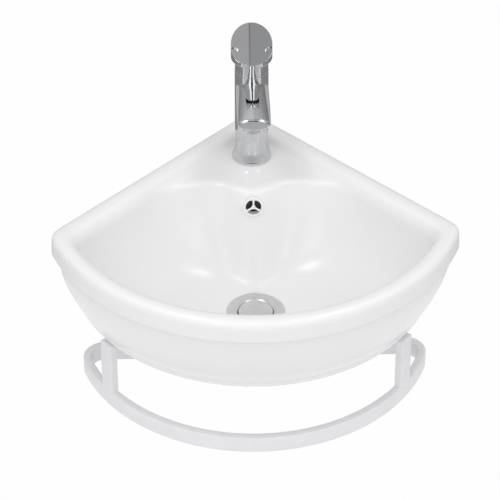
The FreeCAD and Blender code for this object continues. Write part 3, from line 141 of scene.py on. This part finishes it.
class Shader(Nodes):
    """A material's node tree."""

    def __init__(self, name):
        self.material = bpy.data.materials.new(name)
        self.material.use_nodes = True
        super().__init__(self.material.node_tree)
        self.surface = self.tree.nodes["Principled BSDF"]
        self.place = self.node("TexCoord").outputs["Object"]

    def set(self, **values):
        for name, value in values.items():
            self.surface.inputs[name.replace("_", " ")].default_value = value

    def to(self, source, name):
        self.link(source, self.surface.inputs[name])

    def noise(self, scale, detail=3.0, roughness=0.5, vector=None):
        made = self.node("TexNoise")
        made.inputs["Scale"].default_value = scale
        made.inputs["Detail"].default_value = detail
        made.inputs["Roughness"].default_value = roughness
        self.link(vector or self.place, made.inputs["Vector"])
        return made.outputs["Fac"]

    def spread(self, noise, low, high):
        """Maps the middle of a noise's values onto a range."""
        return self.ranged(noise, NOISE_LOW, NOISE_HIGH, low, high)

    def mix(self, share, first, second):
        """Colour from two colours or sockets by a share."""
        made = self.node("Mix", data_type="RGBA")
        self.link(share, made.inputs["Factor"])
        for slot, value in (("A", first), ("B", second)):
            socket = [s for s in made.inputs if s.name == slot and s.type == "RGBA"][0]
            if isinstance(value, tuple):
                socket.default_value = value
            else:
                self.link(value, socket)
        return [s for s in made.outputs if s.type == "RGBA"][0]

    def clouded(self, scale, first, second):
        """A colour that drifts between two others in soft clouds."""
        return self.mix(self.spread(self.noise(scale), 0.0, 1.0), first, second)

    def roughness(self, noise, low, high):
        self.to(self.spread(noise, low, high), "Roughness")

    def bump(self, height, distance, strength):
        made = self.node("Bump")
        made.inputs["Distance"].default_value = distance
        made.inputs["Strength"].default_value = strength
        self.link(height, made.inputs["Height"])
        self.to(made.outputs["Normal"], "Normal")

    def offset(self, x, y, z):
        """The object's coordinates, measured from a point."""
        made = self.node("VectorMath", operation="SUBTRACT")
        self.link(self.place, made.inputs[0])
        made.inputs[1].default_value = (x, y, z)
        return made.outputs["Vector"]

    def length(self, vector):
        made = self.node("VectorMath", operation="LENGTH")
        self.link(vector, made.inputs[0])
        return made.outputs["Value"]

    def radius_about(self, x, y):
        """Distance from a vertical axis."""
        flat = self.node("VectorMath", operation="MULTIPLY")
        self.link(self.offset(x, y, 0.0), flat.inputs[0])
        flat.inputs[1].default_value = (1, 1, 0)
        return self.length(flat.outputs["Vector"])


# ---------------------------------------------------------------- materials

# Scales are per metre, and depths are those of the bumps.
GLAZE_IOR = 1.5
GLAZE_SPECULAR = 0.42
GLAZE_WHITES = (colour(0.865, 0.866, 0.868), colour(0.880, 0.880, 0.878))
GLAZE_ROUGHNESS = (0.20, 0.25)
GLAZE_CLOUDS = 9.0
GLAZE_WAVES = 30.0
GLAZE_RIPPLES = 70.0
GLAZE_DEPTH = 0.00004

# Painted shade inside the overflow: a dark colour stands in for the shade in the hole. It starts below its
# mouth, stays near its axis and ends in the duct.
DUCT_PAINTED_SHADE = grey(0.05)
MOUTH_DEPTH = (0.0005, 0.0015)
MOUTH_RADIUS = (0.0106, 0.0111)
DUCT_DEPTH = (0.030, 0.034)

CHROME_GREYS = (colour(0.66, 0.665, 0.68), colour(0.69, 0.695, 0.71))
CHROME_ROUGHNESS = (0.006, 0.012)
CHROME_CLOUDS = 40.0
CHROME_POLISH = 120.0
CHROME_EDGE = 0.0006
CHROME_EDGE_SAMPLES = 6

# Shares of a metal's or plastic's own roughness, between which it varies
TURNED_RANGE = (0.8, 1.3)
METAL_RANGE = (0.8, 1.25)
MOULDED_RANGE = (0.85, 1.2)

TURNED_CLOUDS = 60.0
TURNING_MARKS = 2600.0
METAL_GRAIN = 180.0
METAL_SCRATCHES = 3
METAL_PITS = 6
MOULDED_SPECULAR = 0.4
PLASTIC_GRAIN = 500.0
PAINT_GRAIN = 900.0
MOULDED_CLOUDS = 0.06
MOULDED_WAVES = 0.2
FINE_DEPTH = 0.00003


def glaze():
    """White glazed ceramic: an even, softly glossy coat, and painted shade inside the overflow."""
    s = Shader("glaze")
    s.set(IOR=GLAZE_IOR, Specular_IOR_Level=GLAZE_SPECULAR)
    body = s.clouded(GLAZE_CLOUDS, *GLAZE_WHITES)
    hole = s.offset(*HOLE_CENTRE)
    along = s.node("VectorMath", operation="DOT_PRODUCT")
    s.link(hole, along.inputs[0])
    along.inputs[1].default_value = (0.0, math.cos(HOLE_LEAN), -math.sin(HOLE_LEAN))
    inward = along.outputs["Value"]
    squares = s.math("SUBTRACT", s.math("POWER", s.length(hole), 2.0), s.math("POWER", inward, 2.0))
    away = s.math("SQRT", squares)
    deep = s.ranged(inward, *MOUTH_DEPTH, 0.0, 1.0)
    near = s.math("MULTIPLY", s.ranged(away, *MOUTH_RADIUS, 1.0, 0.0),
                  s.ranged(inward, *DUCT_DEPTH, 1.0, 0.0))
    # Painted shade: the base colour goes dark inside the overflow hole, below its mouth and near its axis,
    # where the cavity lies in shade.
    s.to(s.mix(s.math("MULTIPLY", deep, near), body, DUCT_PAINTED_SHADE), "Base Color")
    s.roughness(s.noise(GLAZE_WAVES, 4.0), *GLAZE_ROUGHNESS)
    s.bump(s.noise(GLAZE_RIPPLES, 2.0), GLAZE_DEPTH, 0.5)
    return s.material


def chrome():
    """Polished chrome plate, its edges drawn in a little as plating leaves them."""
    s = Shader("chrome")
    s.set(Metallic=1.0)
    s.to(s.clouded(CHROME_CLOUDS, *CHROME_GREYS), "Base Color")
    s.roughness(s.noise(CHROME_POLISH, 5.0), *CHROME_ROUGHNESS)
    edge = s.node("Bevel", samples=CHROME_EDGE_SAMPLES)
    edge.inputs["Radius"].default_value = CHROME_EDGE
    s.to(edge.outputs["Normal"], "Normal")
    return s.material


def turned_metal(name, centre, low, high, rough):
    """Metal with fine turning marks in rings about a vertical axis."""
    s = Shader(name)
    s.set(Metallic=1.0)
    ring = s.node("CombineXYZ")
    s.link(s.radius_about(*centre), ring.inputs["X"])
    marks = s.noise(TURNING_MARKS, 2.0, 0.6, ring.outputs["Vector"])
    s.to(s.clouded(TURNED_CLOUDS, low, high), "Base Color")
    s.roughness(marks, rough * TURNED_RANGE[0], rough * TURNED_RANGE[1])
    s.bump(marks, FINE_DEPTH, 0.6)
    return s.material


def plain_metal(name, low, high, rough):
    """Bare metal with fine scratches."""
    s = Shader(name)
    s.set(Metallic=1.0)
    s.to(s.clouded(METAL_GRAIN, low, high), "Base Color")
    s.roughness(s.noise(METAL_GRAIN * METAL_SCRATCHES, 4.0), rough * METAL_RANGE[0], rough * METAL_RANGE[1])
    s.bump(s.noise(METAL_GRAIN * METAL_PITS, 3.0), FINE_DEPTH, 0.5)
    return s.material


def moulded(name, low, high, rough, grain=PLASTIC_GRAIN):
    """Plastic, rubber or paint with a fine surface grain."""
    s = Shader(name)
    s.set(Specular_IOR_Level=MOULDED_SPECULAR)
    s.to(s.clouded(grain * MOULDED_CLOUDS, low, high), "Base Color")
    s.roughness(s.noise(grain * MOULDED_WAVES, 4.0), rough * MOULDED_RANGE[0], rough * MOULDED_RANGE[1])
    s.bump(s.noise(grain, 2.0), FINE_DEPTH, 0.5)
    return s.material


MATERIALS = {
    "glaze": glaze(),
    "chrome": chrome(),
    "waste_metal": turned_metal("waste_metal", (0.0, DRAIN_Y), grey(0.70), grey(0.76), 0.30),
    "white_plastic": moulded("white_plastic", grey(0.86), grey(0.89), 0.28),
    "grey_plastic": moulded("grey_plastic", colour(0.66, 0.66, 0.63), colour(0.72, 0.72, 0.69), 0.5),
    "black_rubber": moulded("black_rubber", grey(0.018), grey(0.03), 0.7),
    "brass": plain_metal("brass", colour(0.70, 0.52, 0.24), colour(0.80, 0.62, 0.32), 0.3),
    "steel": plain_metal("steel", colour(0.55, 0.55, 0.56), colour(0.66, 0.66, 0.67), 0.35),
    "disc_ceramic": moulded("disc_ceramic", colour(0.80, 0.79, 0.75), colour(0.86, 0.85, 0.82), 0.12),
    "white_paint": moulded("white_paint", colour(0.80, 0.80, 0.825), colour(0.83, 0.83, 0.855), 0.34,
                           PAINT_GRAIN),
}
SLOT_OF = {row["node"]: row["material_slot"] for row in frame["record"]["subparts"]}
LOOK_OF = dict(SLOT_OF, waste_body="waste_metal", waste_plug="waste_metal")


def dress(piece, look):
    piece.data.materials.clear()
    piece.data.materials.append(MATERIALS[look])


for name, piece in NODES.items():
    dress(piece, LOOK_OF[name])


# ---------------------------------------------------------------- meshes

SHARP_ANGLE = 35.0


def in_scene(name, data):
    made = bpy.data.objects.new(name, data)
    bpy.context.scene.collection.objects.link(made)
    return made


def object_from(name, mesh, node, look, body):
    """Puts a finished mesh into the scene in place of a node of the frame."""
    piece = in_scene(name, mesh)
    dress(piece, look)
    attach(piece, body)
    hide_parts(node)


def remeshed(mesh, voxel):
    """A new, smoothly shaded mesh of even faces in the shape of another one."""
    holder = in_scene("holder", mesh)
    modifier = holder.modifiers.new("remesh", "REMESH")
    modifier.mode = "VOXEL"
    modifier.voxel_size = voxel
    modifier.use_smooth_shade = True
    bpy.context.view_layer.update()
    done = bpy.data.meshes.new_from_object(holder.evaluated_get(bpy.context.evaluated_depsgraph_get()))
    bpy.data.objects.remove(holder)
    return done


def vectors(mesh, attribute):
    """A vertex attribute of a mesh as rows of three numbers."""
    flat = np.empty(len(mesh.vertices) * 3, np.float32)
    mesh.vertices.foreach_get(attribute, flat)
    return flat.reshape(-1, 3)


def relax(mesh, rounds, weights):
    """Smooths a mesh. The weights, taken in turn, say how far each vertex follows its neighbours."""
    points = vectors(mesh, "co").astype(float)
    edges = np.empty(len(mesh.edges) * 2, np.int32)
    mesh.edges.foreach_get("vertices", edges)
    edges = edges.reshape(-1, 2)
    moving = np.max(np.abs(weights), axis=0) > 0.001
    edges = edges[moving[edges].any(axis=1)]
    used, local = np.unique(edges, return_inverse=True)
    first, second = local.reshape(-1, 2).T
    count = len(used)
    degree = np.bincount(first, minlength=count) + np.bincount(second, minlength=count)
    some = points[used]
    for step in range(rounds):
        weight = np.where(moving, weights[step % len(weights)], 0.0)[used]
        for axis in range(3):
            column = some[:, axis]
            total = np.bincount(first, column[second], count) + np.bincount(second, column[first], count)
            some[:, axis] = column + weight * (total / degree - column)
    points[used] = some
    mesh.vertices.foreach_set("co", points.astype(np.float32).ravel())
    mesh.update()


def smoothstep(low, high, value):
    share = np.clip((value - low) / (high - low), 0, 1)
    return share * share * (3 - 2 * share)


def finished(mesh, angle=SHARP_ANGLE):
    """Outward normals, smooth over gentle angles."""
    work = bmesh.new()
    work.from_mesh(mesh)
    bmesh.ops.recalc_face_normals(work, faces=work.faces)
    work.to_mesh(mesh)
    work.free()
    mesh.shade_smooth()
    mesh.set_sharp_from_angle(angle=math.radians(angle))
    return mesh


# ---------------------------------------------------------------- basin

VOXEL = 0.0016
FOLLOW = 0.5

# The first rounds shrink and swell in turn, so that they take the voxels' steps off and keep the size.
STEP_ROUNDS = 6
STEP_WEIGHTS = (0.5, -0.52)
EDGE_ROUNDS = 40
BOWL_ROUNDS = 160

# Radii about the tap, the overflow hole and the drain from where nothing moves to where all does
TAP_SEAT = (0.024, 0.034)
HOLE_SEAT = (0.0125, 0.021)
DRAIN_SEAT = (0.036, 0.050)
DRAIN_HEIGHT = 0.012

# Heights over which the smoothing fades in or out
RIM_FADE = (-0.030, -0.010)
INSIDE_FADE = (-0.128, -0.100)
HOLLOW_TOP_FADE = (-0.016, -0.036)
HOLLOW_FLOOR_FADE = (-0.128, -0.112)

# How far a face looks up or towards the bowl's middle, as a cosine
INNER_FADE = (0.0, 0.3)
NEAR_MIDDLE = 0.001


def make_basin():
    """The cast basin with the soft edges that glaze leaves."""
    source = NODES["basin"].data.copy()
    source.materials.clear()
    mesh = remeshed(source, VOXEL)
    points = vectors(mesh, "co").astype(float)
    x, y, z = points.T
    relax(mesh, STEP_ROUNDS, [np.full(len(points), weight) for weight in STEP_WEIGHTS])
    tap = np.hypot(x, y - TAP_Y)
    drain = np.hypot(x, y - DRAIN_Y)
    hole = np.linalg.norm(points - np.array(HOLE_CENTRE), axis=1)
    keep = smoothstep(*TAP_SEAT, tap) * smoothstep(*HOLE_SEAT, hole)
    keep *= np.where(z < BOWL_Z + DRAIN_HEIGHT, smoothstep(*DRAIN_SEAT, drain), 1.0)
    facing = vectors(mesh, "normal")
    middle = np.stack([-x, BOWL_MIDDLE_Y - y], axis=1)
    middle /= np.maximum(np.linalg.norm(middle, axis=1), NEAR_MIDDLE)[:, None]
    inner = smoothstep(*INNER_FADE, (facing[:, :2] * middle).sum(axis=1) + facing[:, 2])
    rim = smoothstep(*RIM_FADE, z)
    inside = smoothstep(*INSIDE_FADE, z) * keep * np.maximum(inner, rim)
    relax(mesh, EDGE_ROUNDS, [FOLLOW * inside])
    hollow = inner * smoothstep(*HOLLOW_TOP_FADE, z) * smoothstep(*HOLLOW_FLOOR_FADE, z) * keep
    relax(mesh, BOWL_ROUNDS, [FOLLOW * hollow])
    object_from("basin_glazed", mesh, "basin", "glaze", "basin_unit")


# ---------------------------------------------------------------- towel rail

RAIL_RADIUS = 0.205
RAIL_FRONT = 0.3528
RAIL_CENTRE = RAIL_RADIUS - RAIL_FRONT
RAIL_TOP = -0.196
RAIL_HEIGHT = 0.020
RAIL_THICK = 0.009
RAIL_END = 0.025
RAIL_BACK = -0.181
RAIL_STEPS = 160
END_STEPS = 28
PAINT_EDGE = 0.0011
CORNER_STEPS = 4
SAME_PLACE = 1e-6


def rounded_rectangle(low_x, low_y, high_x, high_y, radius):
    """Corner points of a rectangle with round corners, anticlockwise."""
    points = []
    corners = ((high_x - radius, high_y - radius, 0), (low_x + radius, high_y - radius, 90),
               (low_x + radius, low_y + radius, 180), (high_x - radius, low_y + radius, 270))
    for x, y, start in corners:
        for step in range(CORNER_STEPS + 1):
            angle = math.radians(start + 90.0 * step / CORNER_STEPS)
            points.append((x + radius * math.cos(angle), y + radius * math.sin(angle)))
    return points


def closed_sweep(name, rings):
    """A closed tube through rings of equal length, the last ring joined to the first."""
    count = len(rings)
    size = len(rings[0])
    points = [point for ring in rings for point in ring]
    faces = []
    for step in range(count):
        here = step * size
        after = (step + 1) % count * size
        for side in range(size):
            beside = (side + 1) % size
            faces.append((here + side, here + beside, after + beside, after + side))
    mesh = bpy.data.meshes.new(name)
    mesh.from_pydata(points, [], faces)
    return finished(mesh)


def rail_stations():
    """Centre, radius and outward direction along the rail's plan: the front arc and the two ends."""
    end_y = RAIL_BACK - RAIL_END
    end_x = math.sqrt((RAIL_RADIUS - RAIL_END) ** 2 - (end_y - RAIL_CENTRE) ** 2)
    touch = math.atan2(end_y - RAIL_CENTRE, end_x)
    arcs = ((0.0, RAIL_CENTRE, RAIL_RADIUS, math.pi - touch, 2 * math.pi + touch, RAIL_STEPS),
            (end_x, end_y, RAIL_END, touch, math.pi / 2, END_STEPS),
            (-end_x, end_y, RAIL_END, math.pi / 2, math.pi - touch, END_STEPS))
    for x, y, radius, start, end, steps in arcs:
        for step in range(steps + 1):
            angle = start + (end - start) * step / steps
            yield x, y, radius, math.cos(angle), math.sin(angle)


def make_rail():
    """The painted loop, with one ring where two arcs meet."""
    section = rounded_rectangle(0.0, RAIL_TOP - RAIL_HEIGHT, RAIL_THICK, RAIL_TOP, PAINT_EDGE)
    rings = []
    last = None
    for x, y, radius, along, across in rail_stations():
        ring = [(x + (radius - inset) * along, y + (radius - inset) * across, z) for inset, z in section]
        if last is None or (Vector(ring[0]) - last).length > SAME_PLACE:
            rings.append(ring)
            last = Vector(ring[0])
    if (Vector(rings[-1][0]) - Vector(rings[0][0])).length < SAME_PLACE:
        rings.pop()
    sweep = closed_sweep("rail_painted", rings)
    object_from("rail_painted", sweep, "towel_rail", "white_paint", "basin_unit")


POST_ANGLE = 55.0
POST_HALF = 0.010
POST_GAP = 0.00005
POST_FOOT = 1e-5
POST_EDGE_STEPS = 3
TAB_LENGTH = 0.038
TAB_THICK = 0.003
TAB_TOP = -0.1301
TAB_UNDER = TAB_TOP - TAB_THICK


def make_post(side, node):
    """One square-cut post with its tab, edges softened by the paint except at its foot."""
    low = RAIL_TOP + POST_GAP
    outline = ((0.0, low), (RAIL_THICK, low), (RAIL_THICK, TAB_UNDER), (TAB_LENGTH, TAB_UNDER),
               (TAB_LENGTH, TAB_TOP), (0.0, TAB_TOP))
    work = bmesh.new()
    corners = [work.verts.new((-POST_HALF, RAIL_CENTRE - RAIL_RADIUS + inset, z)) for inset, z in outline]
    grown = bmesh.ops.extrude_face_region(work, geom=[work.faces.new(corners)])
    moved = [item for item in grown["geom"] if isinstance(item, bmesh.types.BMVert)]
    bmesh.ops.translate(work, verts=moved, vec=(2 * POST_HALF, 0, 0))
    bmesh.ops.recalc_face_normals(work, faces=work.faces)
    foot = [edge for edge in work.edges if all(vert.co.z < low + POST_FOOT for vert in edge.verts)]
    rounded = [edge for edge in work.edges if edge not in foot]
    bmesh.ops.bevel(work, geom=rounded, offset=PAINT_EDGE, segments=POST_EDGE_STEPS, profile=0.5,
                    affect="EDGES", clamp_overlap=True)
    turn = Matrix.Translation((0, RAIL_CENTRE, 0)) @ Matrix.Rotation(math.radians(POST_ANGLE * side), 4, "Z")
    bmesh.ops.transform(work, matrix=turn @ Matrix.Translation((0, -RAIL_CENTRE, 0)), verts=work.verts)
    mesh = bpy.data.meshes.new(node + "_painted")
    work.to_mesh(mesh)
    work.free()
    object_from(node + "_painted", finished(mesh), node, "white_paint", "basin_unit")


# ---------------------------------------------------------------- threads

THREAD_STEPS = 36
THREAD_FOOT = 0.00008
THREAD_START = 0.05
THREAD_HALF_WIDTH = 0.46
THREAD_ANGLE = 50.0

TAIL_RADIUS = 0.0209
TAIL_FREE = 0.028
TAIL_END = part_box("waste_body")[0][2]
TAIL_PITCH = 0.00231
TAIL_RIDGE = 0.0006
STUD_RADIUS = (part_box("tap_stud")[1][0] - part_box("tap_stud")[0][0]) / 2
STUD_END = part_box("tap_stud")[0][2]
STUD_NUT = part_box("tap_nut")[0][2]
STUD_PITCH = 0.00125
STUD_RIDGE = 0.00028


def make_thread(name, node, radius, low, high, pitch, height):
    """A helical thread on the free end of a turned node: a ridge that fades out at both ends."""
    box_low, box_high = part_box(node)
    x, y = (box_low[0] + box_high[0]) / 2, (box_low[1] + box_high[1]) / 2
    foot = radius - THREAD_FOOT
    count = int((high - low - pitch) / pitch * THREAD_STEPS)
    work = bmesh.new()
    rings = []
    for step in range(count + 1):
        angle = 2 * math.pi * step / THREAD_STEPS
        z = low + pitch / 2 + pitch * step / THREAD_STEPS
        fade = min(1.0, step / THREAD_STEPS + THREAD_START, (count - step) / THREAD_STEPS + THREAD_START)
        half = pitch * THREAD_HALF_WIDTH * fade
        section = ((foot, z - half), (radius + height * fade, z), (foot, z + half))
        rings.append([work.verts.new((x + reach * math.cos(angle), y + reach * math.sin(angle), level))
                      for reach, level in section])
    for before, after in zip(rings, rings[1:]):
        for side in range(3):
            beside = (side + 1) % 3
            work.faces.new((before[side], before[beside], after[beside], after[side]))
    work.faces.new(rings[0])
    work.faces.new(rings[-1])
    mesh = bpy.data.meshes.new(name)
    work.to_mesh(mesh)
    work.free()
    piece = in_scene(name, finished(mesh, THREAD_ANGLE))
    dress(piece, LOOK_OF[node])
    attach(piece, "basin_unit")


make_basin()
make_rail()
make_thread("tail_thread", "waste_body", TAIL_RADIUS, TAIL_END, TAIL_END + TAIL_FREE, TAIL_PITCH, TAIL_RIDGE)
make_thread("stud_thread", "tap_stud", STUD_RADIUS, STUD_END, STUD_NUT, STUD_PITCH, STUD_RIDGE)
make_post(-1, "rail_post_left")
make_post(1, "rail_post_right")

# ---------------------------------------------------------------- stage

FLOOR_Z = -0.85
FLOOR_HALF = 12
FLOOR_MIDDLE_Y = -0.2
FLOOR_SHARE_SEEN = 0.96
FLOOR_REACH = 3.0
FLOOR_STOPS = ((0.0, 1.0), (0.26, 1.0), (0.40, 0.34), (0.55, 0.22), (0.75, 0.38), (1.0, 0.55))


def make_floor():
    """Pale floor: white to the eye, and in the chrome a white sheet that ends in a dim room."""
    mesh = bpy.data.meshes.new("floor")
    corners = ((-1, -1), (1, -1), (1, 1), (-1, 1))
    mesh.from_pydata([(x * FLOOR_HALF, y * FLOOR_HALF, FLOOR_Z) for x, y in corners], [], [(0, 1, 2, 3)])
    floor = in_scene("floor", mesh)
    s = Shader("floor")
    s.set(Base_Color=grey(0.9), Roughness=0.9)
    path = s.node("LightPath")
    mirrored = s.math("MAXIMUM", path.outputs["Is Glossy Ray"], path.outputs["Is Transmission Ray"])
    seen = s.math("MAXIMUM", path.outputs["Is Camera Ray"], mirrored)
    away = s.math("DIVIDE", s.radius_about(0.0, FLOOR_MIDDLE_Y), FLOOR_REACH)
    sheet = s.glow(tint=s.mix(mirrored, grey(1.0), s.graded(away, FLOOR_STOPS)))
    blend = s.choose(s.math("MULTIPLY", seen, FLOOR_SHARE_SEEN), s.surface.outputs["BSDF"], sheet)
    s.link(blend, s.tree.nodes["Material Output"].inputs["Surface"])
    mesh.materials.append(s.material)


# The room that the chrome reflects: levels by height, from straight down at 0 to straight up at 1
STUDIO_HEIGHTS = ((0.0, 0.55), (0.48, 0.60), (0.56, 0.30), (0.66, 0.40), (0.80, 0.70), (0.92, 0.72),
                  (0.985, 0.53), (1.0, 0.48))

# The room's two tones meet in a dark seam, a little to the right of the middle.
SPLIT = 0.0239
SPLIT_EDGE = 0.0001
SEAM_HALF = 0.0002
SEAM_LEVEL = 0.5
RIGHT_TONE = 0.80

# In front, between two heights, a dim stretch in the middle has a window on each side.
BAND_EDGE = 0.01
FRONT_HEIGHTS = (0.22, 0.62)
FRONT_START = (-0.50, -0.44)
DIM_HALF = 0.15
DIM_LEVEL = 0.1
WINDOW_SIDES = (0.17, 0.46)
WINDOW_LIGHT = 1.3

# The soft light on everything else, and how much more of it comes from the front
SOFT_LIGHT = 0.79
FRONT_LIGHT = 0.45


class Room(Nodes):
    """The world's node tree, with the direction of sight split into its parts."""

    def __init__(self):
        world = bpy.data.worlds.new("studio")
        world.use_nodes = True
        bpy.context.scene.world = world
        super().__init__(world.node_tree)
        self.tree.nodes.clear()
        place = self.node("TexCoord").outputs["Generated"]
        split = self.node("SeparateXYZ")
        self.link(place, split.inputs["Vector"])
        self.x, self.y, self.z = split.outputs

    def times(self, first, second):
        return self.math("MULTIPLY", first, second)

    def band(self, source, low, high, edge=BAND_EDGE):
        """1 between two values of a source and 0 outside them."""
        rise = self.ranged(source, low - edge, low + edge, 0.0, 1.0)
        return self.times(rise, self.ranged(source, high - edge, high + edge, 1.0, 0.0))


def make_world():
    """White to the eye, a soft light that is stronger from the front, and a graded room in the chrome."""
    room = Room()
    height = room.ranged(room.z, -1.0, 1.0, 0.0, 1.0)
    tone = room.ranged(room.x, SPLIT, SPLIT + SPLIT_EDGE, 1.0, RIGHT_TONE)
    seam = room.band(room.x, SPLIT - SEAM_HALF, SPLIT + SEAM_HALF, SPLIT_EDGE)
    level = room.times(room.graded(height, STUDIO_HEIGHTS), tone)
    level = room.times(level, room.ranged(seam, 0.0, 1.0, 1.0, SEAM_LEVEL))
    aside = room.math("ABSOLUTE", room.x)
    ahead = room.times(room.band(room.z, *FRONT_HEIGHTS), room.ranged(room.y, *FRONT_START, 1.0, 0.0))
    dim = room.times(ahead, room.band(aside, -1.0, DIM_HALF))
    level = room.times(level, room.ranged(dim, 0.0, 1.0, 1.0, DIM_LEVEL))
    windows = room.times(room.times(ahead, room.band(aside, *WINDOW_SIDES)), WINDOW_LIGHT)
    level = room.math("ADD", level, windows)
    fill = room.ranged(room.y, -1.0, 1.0, SOFT_LIGHT + FRONT_LIGHT, SOFT_LIGHT - FRONT_LIGHT)
    path = room.node("LightPath")
    lit = room.choose(path.outputs["Is Glossy Ray"], room.glow(fill), room.glow(level))
    seen = room.choose(path.outputs["Is Camera Ray"], lit, room.glow())
    room.link(seen, room.node("OutputWorld").inputs["Surface"])


LAMP_SIZE = 0.40
LAMP_AIM = Vector((0, -0.2, -0.05))


def facing_along(direction):
    """Turns a lamp or camera to look along a direction."""
    return direction.to_track_quat("-Z", "Y").to_euler()


def softbox(name, place, watts):
    data = bpy.data.lights.new(name, "AREA")
    data.shape = "RECTANGLE"
    data.size = LAMP_SIZE
    data.size_y = LAMP_SIZE
    data.energy = watts
    lamp = in_scene(name, data)
    lamp.location = place
    lamp.rotation_euler = facing_along(LAMP_AIM - Vector(place))


CAMERA_PLACE = (-0.0778, -2.6983, 1.9020)
CAMERA_AZIMUTH = math.radians(-1.661)
CAMERA_ELEVATION = math.radians(38.015)
CAMERA_SENSOR = 36.0
CAMERA_LENS = 205.46
CAMERA_REACH = 50.0


def make_camera():
    data = bpy.data.cameras.new("camera")
    data.sensor_width = CAMERA_SENSOR
    data.lens = CAMERA_LENS
    data.clip_end = CAMERA_REACH
    camera = in_scene("camera", data)
    level = math.cos(CAMERA_ELEVATION)
    back = Vector((math.sin(CAMERA_AZIMUTH) * level, -math.cos(CAMERA_AZIMUTH) * level,
                   math.sin(CAMERA_ELEVATION)))
    camera.location = CAMERA_PLACE
    camera.rotation_euler = facing_along(-back)
    bpy.context.scene.camera = camera


make_floor()
make_world()
softbox("key", (-0.70, -0.80, 1.65), 4.2)
softbox("fill", (0.76, -0.53, 1.70), 3.6)
make_camera()
bpy.context.scene.view_settings.view_transform = "Standard"
